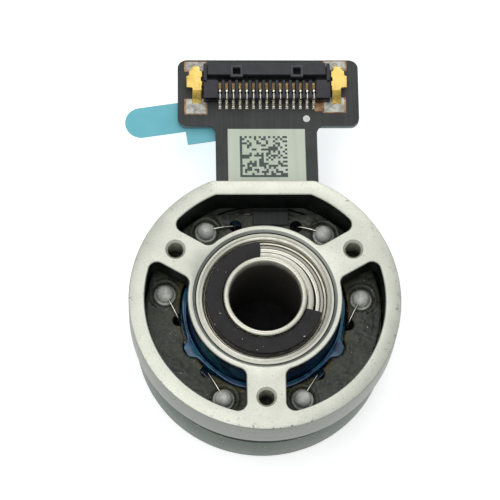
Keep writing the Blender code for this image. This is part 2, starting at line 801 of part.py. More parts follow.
def tail_stations():
    """Stations of the neck, the fillets where it widens, and the pad with its rounded corners."""
    left = TAIL_X - TAIL_HALF_WIDTH
    right = TAIL_X + TAIL_HALF_WIDTH
    pad_left = PAD_X - PAD_HALF_WIDTH
    pad_right = PAD_X + PAD_HALF_WIDTH
    fillet = PAD_CORNER_R
    steps = 12
    stations = []
    for i in range(steps + 1):
        y = ROOT_START_Y + (ROOT_END_Y - ROOT_START_Y) * i / steps
        stations.append((y, ROOT_X - ROOT_HALF_WIDTH, ROOT_X + ROOT_HALF_WIDTH))
    stations.append((SHOULDER_Y, left, right))
    for i in range(steps + 1):
        y = TAIL_BEND_Y + (PAD_LOW_Y - fillet - TAIL_BEND_Y) * i / steps
        stations.append((y, left, right))
    for angle in (20, 40, 60):
        sweep = math.radians(angle)
        out = fillet * (1 - math.cos(sweep))
        stations.append((PAD_LOW_Y - fillet + fillet * math.sin(sweep), left - out, right + out))
    for angle in (0, 30, 60, 90):
        sweep = math.radians(angle)
        inset = fillet * (1 - math.sin(sweep))
        y = PAD_LOW_Y + fillet * (1 - math.cos(sweep))
        stations.append((y, pad_left + inset, pad_right - inset))
    for angle in (90, 60, 30, 0):
        sweep = math.radians(angle)
        inset = fillet * (1 - math.sin(sweep))
        y = PAD_HIGH_Y - fillet * (1 - math.cos(sweep))
        stations.append((y, pad_left + inset, pad_right - inset))
    return stations


def flexible_tail():
    add_object("flex_tail", strip(tail_stations(), TAIL_THICKNESS), flex_grey())
    half_height = (PAD_HIGH_Y - PAD_LOW_Y) / 2
    outline = rounded_rectangle(PAD_HALF_WIDTH, half_height, PAD_CORNER_R)
    middle = (PAD_LOW_Y + PAD_HIGH_Y) / 2
    outline = [(PAD_X + x, middle + y) for x, y in outline]
    stiffener = extruded([outline], STIFFENER_LOW_Z, STIFFENER_TOP_Z)
    add_object("pad_stiffener", stiffener, flex_grey())
    left = LABEL_X - LABEL_HALF_WIDTH
    right = LABEL_X + LABEL_HALF_WIDTH
    steps = 12
    length = LABEL_END_Y - LABEL_START_Y
    stations = [(LABEL_START_Y + length * i / steps, left, right) for i in range(steps + 1)]
    lift = TAIL_THICKNESS / 2 + LABEL_THICKNESS / 2 + 0.01
    add_object("code_label", strip(stations, LABEL_THICKNESS, lift), label_white())


def release_liner():
    """A thin film under the pad, with a round-ended tab that sticks out to be pulled."""
    half = LINER_TAB_HALF_WIDTH
    left, low = LINER_SHEET_LOW
    right, high = LINER_SHEET_HIGH
    outline = arc((0, 0), half, 270, 90, 10)
    outline += [(left, half), (left, high), (right, high), (right, low), (left, low), (left, -half)]
    film = extruded([outline], LINER_Z - LINER_THICKNESS / 2, LINER_Z + LINER_THICKNESS / 2)
    tilt = Matrix.Rotation(math.radians(LINER_TILT), 4, "Z")
    film = moved(film, Matrix.Translation((*LINER_TAB_END, 0)) @ tilt)
    add_object("release_liner", film, liner_blue())


def contact_centres():
    first = CONNECTOR_X - CONTACT_PITCH * (CONTACT_COUNT - 1) / 2
    return [first + CONTACT_PITCH * i for i in range(CONTACT_COUNT)]


def housing_outline():
    """The housing from the side, as (y, z) points: a block, a groove and a low base."""
    return [
        (HOUSING_FRONT_Y, CONNECTOR_BASE_Z),
        (HOUSING_BACK_Y, CONNECTOR_BASE_Z),
        (HOUSING_BACK_Y, HOUSING_BASE_TOP_Z),
        (HOUSING_WALL_Y + HOUSING_STEP_WIDTH, HOUSING_BASE_TOP_Z),
        (HOUSING_WALL_Y, HOUSING_SLOT_FLOOR_Z - HOUSING_STEP_DROP),
        (HOUSING_WALL_Y, CONNECTOR_TOP_Z),
        (HOUSING_FRONT_Y, CONNECTOR_TOP_Z),
    ]


def along_x(outline, left, right):
    """A prism along X from an outline of (y, z) points."""
    turn = Matrix(((0, 0, 1, 0), (1, 0, 0, 0), (0, 1, 0, 0), (0, 0, 0, 1)))
    return moved(extruded([outline], left, right), turn)


def connector_housing():
    left = CONNECTOR_X - HOUSING_HALF_WIDTH
    right = CONNECTOR_X + HOUSING_HALF_WIDTH
    housing = add_object("connector_housing", along_x(housing_outline(), left, right), black_plastic())
    cheeks = []
    for side in (-1, 1):
        edges = (CHEEK_INNER_X, HOUSING_HALF_WIDTH - CHEEK_INSET)
        near, far = sorted(CONNECTOR_X + side * x for x in edges)
        cheeks.append(box((near, CHEEK_FRONT_Y, CHEEK_LOW_Z), (far, CHEEK_BACK_Y, CHEEK_TOP_Z)))
    combine(housing, cutter("cheek_shapes", joined(cheeks)), "UNION")
    slots = []
    tunnels = []
    for x in contact_centres():
        wide = SLOT_HALF_WIDTH
        low = (x - wide, HOUSING_FRONT_Y + BAND_WIDTH, HOUSING_SLOT_FLOOR_Z)
        slots.append(box(low, (x + wide, HOUSING_WALL_Y + OVERRUN, CONNECTOR_TOP_Z + OVERRUN)))
        wide = TUNNEL_HALF_WIDTH
        low = (x - wide, HOUSING_FRONT_Y - OVERRUN, HOUSING_SLOT_FLOOR_Z + SEAM / 2)
        tunnels.append(box(low, (x + wide, HOUSING_FRONT_Y + 2 * BAND_WIDTH, TUNNEL_TOP_Z)))
    combine(housing, cutter("contact_slot_cutters", joined(slots)))
    combine(housing, cutter("contact_tunnel_cutters", joined(tunnels)))
    socket = circle(LATCH_PIN_R + SOCKET_GAP, SMALL, (LATCH_AXIS_Y, LATCH_AXIS_Z))
    through = along_x(socket, left - OVERRUN, right + OVERRUN)
    combine(housing, cutter("latch_socket_cutter", through))


def contact_row():
    """Fifteen contacts on one carrier strip that lies in the housing's groove."""
    carrier_low = HOUSING_WALL_Y + SEAM
    carrier_high = carrier_low + CARRIER_WIDTH
    tail_y = HOUSING_FRONT_Y - CONTACT_TAIL
    wide = CONTACT_HALF_WIDTH
    outline = []
    for x in contact_centres():
        outline += [(x - wide, carrier_low), (x - wide, tail_y)]
        outline += [(x + wide, tail_y), (x + wide, carrier_low)]
    outline += [(outline[-1][0], carrier_high), (outline[0][0], carrier_high)]
    low = HOUSING_SLOT_FLOOR_Z + SEAM
    add_object("contact_row", extruded([outline], low, low + CONTACT_THICKNESS), gold())


def hold_downs():
    """A notched solder tab at each end of the connector."""
    for name, side in (("left_hold_down", -1), ("right_hold_down", 1)):
        outline = [(CONNECTOR_X + side * x, y) for x, y in HOLD_DOWN_OUTLINE]
        tab = extruded([outline], CONNECTOR_BASE_Z, CONNECTOR_BASE_Z + HOLD_DOWN_THICKNESS)
        add_object(name, tab, gold())


def connector_latch():
    """The locking bar, with two windowed frames and a pivot pin at each end."""
    left = CONNECTOR_X - LATCH_HALF_WIDTH
    right = CONNECTOR_X + LATCH_HALF_WIDTH
    half = LATCH_FRAME_HALF_WIDTH
    front = LATCH_FRONT_Y - LATCH_FRAME_REACH
    outline = [(left, LATCH_FRONT_Y)]
    holes = []
    for side in (-1, 1):
        x = CONNECTOR_X + side * LATCH_FRAME_X
        outline += [(x - half, LATCH_FRONT_Y), (x - half, front)]
        outline += [(x + half, front), (x + half, LATCH_FRONT_Y)]
        hole = rounded_rectangle(LATCH_HOLE_HALF_WIDTH, LATCH_HOLE_HALF_WIDTH, LATCH_HOLE_CORNER_R, 1)
        holes.append([(x + dx, front + half + dy) for dx, dy in hole])
    outline += [(right, LATCH_FRONT_Y), (right, LATCH_BACK_Y), (left, LATCH_BACK_Y)]
    bar = extruded([outline, *holes], LATCH_LOW_Z, LATCH_TOP_Z)
    latch = add_object("connector_latch", bar, black_plastic())
    pin = circle(LATCH_PIN_R, SMALL, (LATCH_AXIS_Y, LATCH_AXIS_Z))
    pins = []
    for side in (-1, 1):
        reach = (LATCH_HALF_WIDTH - LATCH_PIN_ROOT, LATCH_PIN_END)
        pins.append(along_x(pin, *sorted(CONNECTOR_X + side * x for x in reach)))
    combine(latch, cutter("latch_pin_shapes", joined(pins)), "UNION")


def main():
    clear_scene()
    front_bracket()
    front_bearing()
    rear_bearing()
    rotor()
    retaining_ring()
    stator_core()
    coils()
    wiring_board()
    solder_joints()
    angle_sensors()
    flexible_tail()
    release_liner()
    connector_housing()
    contact_row()
    hold_downs()
    connector_latch()


main()
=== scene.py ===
"""Visual model of a hollow-shaft brushless gimbal motor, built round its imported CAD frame.

Lengths are in millimetres until MM turns them to metres. The shaft's axis is Z, the bracket's
face looks up along +Z, and the flexible tail leaves towards +Y.
"""

import math
import random

import bmesh
import bpy
from mathutils import Matrix, Vector, noise


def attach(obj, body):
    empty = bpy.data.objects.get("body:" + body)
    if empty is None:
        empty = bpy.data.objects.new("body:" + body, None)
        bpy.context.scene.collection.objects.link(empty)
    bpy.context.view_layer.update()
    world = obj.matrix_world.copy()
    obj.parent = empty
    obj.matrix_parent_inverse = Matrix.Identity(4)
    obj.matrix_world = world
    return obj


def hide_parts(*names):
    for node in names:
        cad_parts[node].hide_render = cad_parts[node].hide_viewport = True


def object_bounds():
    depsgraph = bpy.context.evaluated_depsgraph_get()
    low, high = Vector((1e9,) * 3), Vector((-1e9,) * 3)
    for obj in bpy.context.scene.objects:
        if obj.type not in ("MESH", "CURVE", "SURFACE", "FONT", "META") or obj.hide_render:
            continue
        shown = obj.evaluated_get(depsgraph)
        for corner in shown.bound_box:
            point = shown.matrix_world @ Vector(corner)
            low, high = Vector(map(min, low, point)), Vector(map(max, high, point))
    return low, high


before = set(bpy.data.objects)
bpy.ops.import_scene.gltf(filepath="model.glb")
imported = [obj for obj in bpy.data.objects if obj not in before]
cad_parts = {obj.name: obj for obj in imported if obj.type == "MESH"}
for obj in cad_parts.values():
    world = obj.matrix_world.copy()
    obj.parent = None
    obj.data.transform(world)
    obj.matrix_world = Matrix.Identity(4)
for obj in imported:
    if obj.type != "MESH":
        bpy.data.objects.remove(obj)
cad_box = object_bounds()

MM = 0.001

# Bracket
BODY_R = 9.75
FACE_Z = 9.0
RIM_LOW_Z = 5.8
RIM_INNER_R = 8.66
RIM_CHAMFER = 0.15
WEB_LOW_Z = 7.0
FLAT_Y = 9.0
FLAT_CORNER_R = 0.9
HUB_R = 5.5
HUB_LOW_Z = 1.15
HUB_CHAMFER = 0.1
SEAT_R = 4.995
SEAT_LEAD_IN = (0.2, 0.12)  # across and down
SHOULDER_R = 4.6
SHOULDER_LOW_Z = 4.23
SHOULDER_TOP_Z = 5.87
SKIRT_LOW_Z = 6.08
TAIL_GAP = ((-3.67, 7.45, 5.3), (4.53, 10.3, 6.1))  # opposite corners of the slot for the tail
WINDOW_OUTER_R = 8.62
WINDOW_INNER_R = 5.53
WINDOW_FLAT_Y = 7.9
WINDOW_FLAT_CORNER_R = 0.3
WINDOW_CORNER_R = 0.62
WINDOW_EDGE = 0.06
SPOKE_HALF_WIDTH = 1.4
SPOKE_ANGLES = (30, 150, 270)
WINDOW_ANGLES = (90, 210, 330)
SCREW_CIRCLE_R = 7.375
SCREW_HOLE_R = 0.57
SCREW_ROOT_R = 0.64
SCREW_CHAMFER_R = 0.74
THREAD_PITCH = 0.3

# Front bearing
FRONT_LOW_Z = 5.9
FRONT_TOP_Z = 8.85
BALL_CIRCLE_R = 4.0
BALL_GROOVE_R = 0.63

# Rotor
BELL_R = 9.25
BELL_INNER_R = 8.72
BELL_TOP_Z = 5.5
SHADOW_BAND_LOW_Z = 3.68
PLATE_TOP_Z = 0.7
SHAFT_R = 2.99
SHAFT_BORE_R = 2.6
SHAFT_TOP_Z = 9.5
RING_INNER_R = 3.05
RING_OUTER_R = 4.2
RING_LOW_Z = 8.93
RING_TOP_Z = 9.2
RING_START = 95.0
RING_END = 344.0
MAGNET_COUNT = 12
MAGNET_INNER_R = 8.15
MAGNET_OUTER_R = 8.68
MAGNET_LOW_Z = 1.02
MAGNET_TOP_Z = 4.28

# Winding
TOOTH_COUNT = 9
CORE_MIDDLE_Z = 2.7
COIL_HALF_WIDTH = 0.65
COIL_HALF_HEIGHT = 1.28
COIL_START_R = 6.12
COIL_LAYERS = 2
COIL_TURNS = 6
WIRE_R = 0.1
TURN_PITCH = 0.208

# Wiring board
BOARD_R = 8.5
BOARD_BORE_R = 6.1
BOARD_LOW_Z = 5.85
BOARD_TOP_Z = 6.15
BOARD_FLAT_Y = 7.4
CUP_R = 0.93
CUP_DEPTH = 0.25
SOLDER_R = 0.64
LEAD_SLOT_R = 0.46
NOTCH_R = 0.9
NOTCH_CIRCLE_R = 5.65
NOTCH_ANGLES = (208.5, 331.5)
# Centre of each solder cup and of the slot that its lead comes through
SOLDER_PLACES = (
    ((7.07, 0.86), (6.06, -1.05)),
    ((4.45, 5.85), (2.45, 6.45)),
    ((-4.15, 6.08), (-1.97, 6.5)),
    ((-7.14, 1.25), (-6.12, -0.72)),
    ((-2.97, -6.67), (-4.15, -4.6)),
    ((2.69, -6.69), (3.87, -4.78)),
)

# Flexible tail
ROOT_X = 0.6
ROOT_HALF_WIDTH = 1.3
ROOT_START_Y = 6.55
ROOT_BEND_Y = 7.5
ROOT_END_Y = 8.15
ROOT_Z = 6.27
SHOULDER_Y = 8.6
TAIL_X = 0.43
TAIL_HALF_WIDTH = 3.78
TAIL_BEND_Y = 9.7
TAIL_FLAT_Y = 14.5
TAIL_THICKNESS = 0.14
TAIL_LIP_Z = 5.69
PAD_X = 0.62
PAD_HALF_WIDTH = 6.77
PAD_LOW_Y = 14.9
PAD_HIGH_Y = 20.2
PAD_Z = 5.0
PAD_TOP_Z = 5.07
PAD_CORNER_R = 0.65
LABEL_X = 0.43
LABEL_HALF_WIDTH = 2.88
LABEL_START_Y = 9.25
LABEL_END_Y = 14.6
LABEL_THICKNESS = 0.05
MODULE_COUNT = 20
MODULE_PITCH = 0.176
MODULE_START = (-1.56, 10.5)
MODULE_SHARE = 0.36
DOT_CENTRE = (3.45, 15.45)
STIFFENER_LOW_Z = 4.5
STIFFENER_TOP_Z = 4.9

# Release liner, in its own axes: X runs from the middle of the round end into the film
LINER_CENTRE = (-8.88, 15.38)
LINER_TILT = 8.5
LINER_LOW_Z = 4.365
LINER_TOP_Z = 4.435
LINER_TAB_R = 1.2
LINER_LEFT = 3.18
LINER_RIGHT = 10.5
LINER_FRONT = -2.27
LINER_BACK = 2.4

# Connector
CONNECTOR_X = 0.5
CONTACT_COUNT = 15
CONTACT_PITCH = 0.5
HOUSING_HALF_WIDTH = 4.72
BASE_Z = 5.1
HOUSING_TOP_Z = 6.02
HOUSING_FRONT_Y = 16.75
BAND_BACK_Y = 17.1
WALL_Y = 18.2
HOUSING_BACK_Y = 19.55
LATCH_HALF_WIDTH = 4.42
LATCH_LOW_Z = 5.45
LATCH_TOP_Z = 5.95
LATCH_FRONT_Y = 18.66
LATCH_BACK_Y = 19.6
LATCH_AXIS_Y = 18.8
LATCH_AXIS_Z = 5.7
LATCH_FRAME_X = 2.25

# Camera
CAMERA_DISTANCE = 200.0
VIEW_WIDTH = 35.686  # what the frame spans across the bracket's face
CAMERA_AIM = (1.085, 3.404)  # the view's middle lies this far left of the face's centre and above it

NOISE_SEED = 1  # without a seed, the noise vectors that shape the solder change from run to run
ROUND = 256  # points round a full circle
SHARP = 32  # degrees between faces from which an edge is drawn sharp


# Shapes


def polar(radius, degrees):
    angle = math.radians(degrees)
    return (radius * math.cos(angle), radius * math.sin(angle))


def arc(centre, radius, start, end, steps):
    angles = (start + (end - start) * i / steps for i in range(steps + 1))
    return [(centre[0] + x, centre[1] + y) for x, y in (polar(radius, a) for a in angles)]


def circle(radius, count=ROUND, centre=(0, 0)):
    return arc(centre, radius, 0, 360, count)[:-1]


def outline_of(points):
    """The points without any that repeats the one before it."""
    kept = []
    for point in points:
        if not kept or math.dist(point, kept[-1]) > 1e-5:
            kept.append(point)
    return kept[:-1] if math.dist(kept[0], kept[-1]) < 1e-5 else kept


def offset(points, amount):
    """A counterclockwise outline moved inwards by the amount, or outwards if it is negative."""
    moved_points = []
    for i, point in enumerate(points):
        before = Vector(point) - Vector(points[i - 1])
        after = Vector(points[(i + 1) % len(points)]) - Vector(point)
        first = Vector((-before.y, before.x)).normalized()
        second = Vector((-after.y, after.x)).normalized()
        both = (first + second) / max(1 + first.dot(second), 0.3)
        moved_points.append((point[0] + both.x * amount, point[1] + both.y * amount))
    return moved_points


def rounded_rectangle(half_width, half_height, radius, centre=(0, 0), steps=5):
    outline = []
    for index, (sx, sy) in enumerate(((1, 1), (-1, 1), (-1, -1), (1, -1))):
        corner = (centre[0] + sx * (half_width - radius), centre[1] + sy * (half_height - radius))
        outline += arc(corner, radius, 90 * index, 90 * index + 90, steps)
    return outline


class Solid:
    """A mesh built from rings of points that are joined by walls and closed by caps."""

    def __init__(self):
        self.bm = bmesh.new()

    def ring(self, outline, height):
        return [self.bm.verts.new((x, y, height)) for x, y in outline]

    def rings(self, profile, count=ROUND, centre=(0, 0)):
        """Level circles, one for each (radius, height) of the profile."""
        return [self.ring(circle(radius, count, centre), height) for radius, height in profile]

    def wall(self, first, second, finish=0):
        for i in range(len(first)):
            j = (i + 1) % len(first)
            self.bm.faces.new((first[i], first[j], second[j], second[i])).material_index = finish

    def walls(self, rings, finish=0):
        for first, second in zip(rings, rings[1:]):
            self.wall(first, second, finish)

    def cap(self, rings, finish=0):
        edges = []
        for ring in rings:
            for a, b in zip(ring, ring[1:] + ring[:1]):
                edges.append(self.bm.edges.get((a, b)) or self.bm.edges.new((a, b)))
        made = bmesh.ops.triangle_fill(self.bm, edges=edges, use_beauty=True)
        for face in made["geom"]:
            if isinstance(face, bmesh.types.BMFace):
                face.material_index = finish


def turned(profile, segments=ROUND, centre=(0, 0), finishes=None):
    """A shape turned about a vertical axis. A profile that starts on the axis also ends there."""
    solid = Solid()
    rings = []
    for radius, height in profile:
        outline = circle(radius, segments, centre) if radius else [centre]
        rings.append(solid.ring(outline, height))
    pairs = list(zip(rings, rings[1:]))
    if profile[0][0]:
        pairs.append((rings[-1], rings[0]))
    for number, (first, second) in enumerate(pairs):
        for i in range(segments):
            j = (i + 1) % segments
            corners = [first[i % len(first)], first[j % len(first)]]
            corners += [second[j % len(second)], second[i % len(second)]]
            face = solid.bm.faces.new(list(dict.fromkeys(corners)))
            face.material_index = finishes[number] if finishes else 0
    return solid.bm


EDGE_STEPS = ((0, 1), (0.08, 0.55), (0.3, 0.25), (0.6, 0.06), (1, 0))


def prism(outlines, low, high, edge=0.0):
    """A prism with rounded rims. The first outline is its edge, the others are holes."""
    solid = Solid()
    steps = EDGE_STEPS if edge else ((0, 0),)
    levels = [(low + edge * rise, edge * inset) for rise, inset in steps]
    levels += [(high - edge * rise, edge * inset) for rise, inset in reversed(steps)]
    rings = []
    for height, inset in levels:
        shrunk = [offset(o, inset if i == 0 else -inset) for i, o in enumerate(outlines)]
        rings.append([solid.ring(outline, height) for outline in shrunk])
    for lower, upper in zip(rings, rings[1:]):
        for first, second in zip(lower, upper):
            solid.wall(first, second)
    solid.cap(rings[0])
    solid.cap(rings[-1])
    return solid.bm


def block(low, high, edge=0.03, corner=0.03):
    half = ((high[0] - low[0]) / 2, (high[1] - low[1]) / 2)
    centre = ((high[0] + low[0]) / 2, (high[1] + low[1]) / 2)
    outline = rounded_rectangle(*half, corner, centre, 3)
    return prism([outline], low[2], high[2], edge)


def along_x(outline, left, right, edge=0.02):
    """A prism along X from an outline of (y, z) points."""
    turn = Matrix(((0, 0, 1, 0), (1, 0, 0, 0), (0, 1, 0, 0), (0, 0, 0, 1)))
    return moved(prism([outline], left, right, edge), turn)


def moved(bm, matrix):
    bmesh.ops.transform(bm, matrix=matrix, verts=bm.verts)
    return bm


def joined(parts):
    whole = bmesh.new()
    for part in parts:
        mesh = bpy.data.meshes.new("joined")
        part.to_mesh(mesh)
        part.free()
        whole.from_mesh(mesh)
        bpy.data.meshes.remove(mesh)
    return whole


def tube(points, radius, sides=10, closed=False):
    """A round wire through the points. Its cross-section turns as little as it can on the way."""
    solid = Solid()
    points = [Vector(p) for p in points]
    count = len(points)
    rings = []
    across = None
    for i, point in enumerate(points):
        before = points[i - 1] if closed or i else point
        after = points[(i + 1) % count] if closed or i < count - 1 else point
        forward = (after - before).normalized()
        if across is None:
            across = forward.orthogonal().normalized()
        across = (across - forward * across.dot(forward)).normalized()
        other = forward.cross(across)
        ring = []
        for k in range(sides):
            x, y = polar(radius, 360 * k / sides)
            ring.append(solid.bm.verts.new(point + across * x + other * y))
        rings.append(ring)
    if closed:
        first = rings[0]
        shift = min(range(sides), key=lambda k: (first[k].co - rings[-1][0].co).length)
        rings.append(first[shift:] + first[:shift])
    solid.walls(rings)
    if not closed:
        solid.bm.faces.new(rings[0])
        solid.bm.faces.new(rings[-1])
    return solid.bm


def smooth_path(points, steps=6):
    """A Catmull-Rom curve through the points."""
    points = [Vector(p) for p in points]
    ends = [2 * points[0] - points[1], *points, 2 * points[-1] - points[-2]]
    path = []
    for a, b, c, d in zip(ends, ends[1:], ends[2:], ends[3:]):
        for i in range(steps):
            t = i / steps
            curve = 2 * b + (c - a) * t + (2 * a - 5 * b + 4 * c - d) * t * t
            path.append((curve + (3 * b - a - 3 * c + d) * t * t * t) / 2)
    return [*path, points[-1]]


def carve(obj, tool):
    """Cuts a bmesh made in millimetres out of a finished piece."""
    bmesh.ops.scale(tool, vec=(MM, MM, MM), verts=tool.verts)
    bmesh.ops.recalc_face_normals(tool, faces=tool.faces)
    mesh = bpy.data.meshes.new("tool")
    tool.to_mesh(mesh)
    tool.free()
    helper = bpy.data.objects.new("tool", mesh)
    bpy.context.scene.collection.objects.link(helper)
    modifier = obj.modifiers.new("carve", "BOOLEAN")
    modifier.operation = "DIFFERENCE"
    modifier.solver = "EXACT"
    modifier.object = helper
    evaluated = obj.evaluated_get(bpy.context.evaluated_depsgraph_get())
    made = bpy.data.meshes.new_from_object(evaluated)
    obj.modifiers.clear()
    obj.data = made
    made.set_sharp_from_angle(angle=math.radians(SHARP))
    bpy.data.objects.remove(helper, do_unlink=True)


def piece(name, bm, looks, node=None, body="stator", sharp=SHARP):
    """Turns a bmesh made in millimetres into a piece that rides on a body, in place of a CAD node."""
    bmesh.ops.scale(bm, vec=(MM, MM, MM), verts=bm.verts)
    bmesh.ops.recalc_face_normals(bm, faces=bm.faces)
    mesh = bpy.data.meshes.new(name)
    bm.to_mesh(mesh)
    bm.free()
    for look in looks:
        mesh.materials.append(look)
    mesh.shade_smooth()
    mesh.set_sharp_from_angle(angle=math.radians(sharp))
    obj = bpy.data.objects.new(name, mesh)
    bpy.context.scene.collection.objects.link(obj)
    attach(obj, body)
    if node:
        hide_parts(node)
    return obj


# Materials


class Look:
    """A Principled material driven by textures in millimetres of the object's own space."""

    def __init__(self, name, colour, metallic=0.0, roughness=0.5, **constants):
        self.material = bpy.data.materials.new(name)
        self.material.use_nodes = True
        self.tree = self.material.node_tree
        self.shader = self.tree.nodes["Principled BSDF"]
        self.shader.inputs["Base Color"].default_value = (*colour, 1.0)
        self.shader.inputs["Metallic"].default_value = metallic
        self.shader.inputs["Roughness"].default_value = roughness
        for socket, value in constants.items():
            self.shader.inputs[socket.replace("_", " ")].default_value = value
        coordinates = self.tree.nodes.new("ShaderNodeTexCoord")
        self.place = self.vector("MULTIPLY", coordinates.outputs["Object"], (1000, 1000, 1000))

    def feed(self, node, index, value):
        """Links a socket, or sets a number or a colour."""
        if isinstance(value, bpy.types.NodeSocket):
            self.tree.links.new(value, node.inputs[index])
        elif isinstance(value, tuple) and len(value) < len(node.inputs[index].default_value):
            node.inputs[index].default_value = (*value, 1.0)
        else:
            node.inputs[index].default_value = value

    def vector(self, operation, a, b=None):
        node = self.tree.nodes.new("ShaderNodeVectorMath")
        node.operation = operation
        self.feed(node, 0, a)
        if b is not None:
            self.feed(node, 1, b)
        return node.outputs["Value" if operation in ("LENGTH", "DISTANCE") else "Vector"]

    def math(self, operation, a, b=0.0):
        node = self.tree.nodes.new("ShaderNodeMath")
        node.operation = operation
        self.feed(node, 0, a)
        self.feed(node, 1, b)
        return node.outputs["Value"]

    def stretched(self, x, y, z):
        return self.vector("MULTIPLY", self.place, (x, y, z))

    def radius(self):
        return self.vector("LENGTH", self.stretched(1, 1, 0))

    def height(self):
        node = self.tree.nodes.new("ShaderNodeSeparateXYZ")
        self.feed(node, 0, self.place)
        return node.outputs["Z"]

    def rings(self, frequency):
        """A vector that changes only with the distance from Z, for turning marks on a flat face."""
        node = self.tree.nodes.new("ShaderNodeCombineXYZ")
        self.feed(node, 0, self.math("MULTIPLY", self.radius(), frequency))
        return node.outputs["Vector"]

    def noise(self, scale, detail=2.0, vector=None, roughness=0.5, distortion=0.0):
        node = self.tree.nodes.new("ShaderNodeTexNoise")
        self.feed(node, "Vector", vector or self.place)
        node.inputs["Scale"].default_value = scale
        node.inputs["Detail"].default_value = detail
        node.inputs["Roughness"].default_value = roughness
        node.inputs["Distortion"].default_value = distortion
        return node.outputs["Fac"]

    def fade(self, value, low, high, start=0.0, end=1.0):
        node = self.tree.nodes.new("ShaderNodeMapRange")
        for index, number in enumerate((value, low, high, start, end)):
            self.feed(node, index, number)
        return node.outputs["Result"]

    def mix(self, share, a, b):
        node = self.tree.nodes.new("ShaderNodeMix")
        node.data_type = "RGBA"
        self.feed(node, 0, share)
        self.feed(node, 6, a)
        self.feed(node, 7, b)
        return node.outputs[2]

    def blend(self, value, low, high, a, b, most=1.0):
        """The first colour where the value is low, moving to the second where it is high."""
        return self.mix(self.fade(value, low, high, 0.0, most), a, b)

    def finish(self, colour, roughness, bump):
        """Roughness is (marks, smoothest, roughest, ...limits) and bump is (height, strength, depth)."""
        marks, smoothest, roughest, *limits = roughness
        low, high = limits or (0.3, 0.7)
        height, strength, depth = bump
        self.feed(self.shader, "Base Color", colour)
        self.feed(self.shader, "Roughness", self.fade(marks, low, high, smoothest, roughest))
        node = self.tree.nodes.new("ShaderNodeBump")
        node.inputs["Strength"].default_value = strength
        node.inputs["Distance"].default_value = depth * MM
        self.feed(node, "Height", height)
        self.tree.links.new(node.outputs["Normal"], self.shader.inputs["Normal"])
        return self.material


def satin_face():
    look = Look("satin_aluminium_face", (0.8, 0.8, 0.76), 1.0, 0.42)
    grain = look.noise(11.0, 4.0, roughness=0.7)
    cloud = look.noise(0.8, 3.0)
    base = look.blend(cloud, 0.35, 0.65, (0.60, 0.61, 0.525), (0.66, 0.67, 0.58))
    base = look.blend(grain, 0.44, 0.62, base, (0.44, 0.43, 0.39), 0.35)
    base = look.blend(look.noise(4.2, 3.0), 0.66, 0.7, base, (0.26, 0.25, 0.22), 0.45)
    edge = look.fade(look.radius(), 9.25, 9.72)
    nicks = look.math("MULTIPLY", look.fade(look.noise(2.6, 4.0, roughness=0.65), 0.6, 0.67), edge)
    colour = look.mix(nicks, base, (0.12, 0.12, 0.11))
    return look.finish(colour, (grain, 0.34, 0.5), (grain, 0.5, 0.012))


# Painted shade: a darker copy of the bracket's aluminium for its sides, its underside and the seat's
# lead-in.
def turned_side_painted_shade():
    look = Look("turned_aluminium_side_painted_shade", (0.4, 0.4, 0.38), 1.0, 0.36)
    lines = look.noise(1.0, 3.0, look.stretched(0.25, 0.25, 14.0))
    patches = look.noise(1.1, 3.0)
    base = look.blend(lines, 0.35, 0.65, (0.16, 0.172, 0.154), (0.25, 0.262, 0.236))
    base = look.blend(patches, 0.45, 0.7, base, (0.21, 0.22, 0.21), 0.4)
    nicks = look.fade(look.noise(3.4, 4.0), 0.66, 0.7)
    colour = look.mix(nicks, base, (0.10, 0.10, 0.09))
    return look.finish(colour, (lines, 0.3, 0.44), (lines, 0.5, 0.01))


# Painted shade: near black for walls, hollows and gaps that lie in shade, with blue varnish on the hub's
# wall.
def painted_shade_wall():
    look = Look("painted_shade_black_wall", (0.01, 0.012, 0.01), 0.0, 0.42, Specular_IOR_Level=0.12)
    cloud = look.noise(1.7, 4.0)
    grain = look.noise(16.0, 2.0)
    base = look.blend(cloud, 0.4, 0.7, (0.003, 0.004, 0.0035), (0.012, 0.015, 0.011))
    patches = look.noise(0.55, 3.0, distortion=0.6)
    varnish = look.blend(patches, 0.38, 0.58, (0.003, 0.008, 0.022), (0.007, 0.040, 0.125))
    # Lighter teal patches in the varnish are painted highlights.
    teal_painted_highlight = look.fade(look.noise(0.7, 2.0), 0.52, 0.66)
    varnish = look.mix(teal_painted_highlight, varnish, (0.02, 0.13, 0.14))
    on_hub = look.math("MULTIPLY", look.fade(look.radius(), 5.3, 5.4),
                       look.fade(look.radius(), 5.66, 5.72, 1.0, 0.0))
    on_hub = look.math("MULTIPLY", on_hub, look.fade(look.height(), 8.0, 8.8, 1.0, 0.15))
    return look.finish(look.mix(on_hub, base, varnish), (grain, 0.34, 0.55), (grain, 0.3, 0.008))


def bell_metal():
    look = Look("grey_anodised_bell", (0.2, 0.22, 0.2), 1.0, 0.4)
    lines = look.noise(1.0, 4.0, look.stretched(0.2, 0.2, 11.0))
    faces = look.noise(1.0, 4.0, look.rings(9.0))
    flat = look.fade(look.height(), 0.02, 0.2, 1.0, 0.0)
    marks = look.fade(flat, 0.0, 1.0, lines, faces)
    cloud = look.noise(0.6, 3.0)
    base = look.blend(marks, 0.35, 0.65, (0.07, 0.095, 0.075), (0.12, 0.145, 0.12))
    base = look.blend(cloud, 0.4, 0.65, base, (0.13, 0.15, 0.128), 0.5)
    colour = look.blend(look.noise(5.0, 3.0), 0.68, 0.72, base, (0.45, 0.46, 0.43))
    return look.finish(colour, (marks, 0.32, 0.46), (marks, 0.45, 0.01))


def ground_steel(name, light, dark, frequency=14.0, roughness=0.24):
    look = Look(name, light, 1.0, roughness)
    marks = look.noise(1.0, 4.0, look.rings(frequency))
    smear = look.noise(1.6, 3.0, distortion=0.6)
    base = look.blend(marks, 0.35, 0.65, dark, light)
    colour = look.blend(look.noise(7.5, 3.0), 0.68, 0.73, base, (0.16, 0.14, 0.11), 0.7)
    shine = (smear, roughness - 0.05, roughness + 0.12, 0.35, 0.7)
    return look.finish(colour, shine, (marks, 0.35, 0.008))


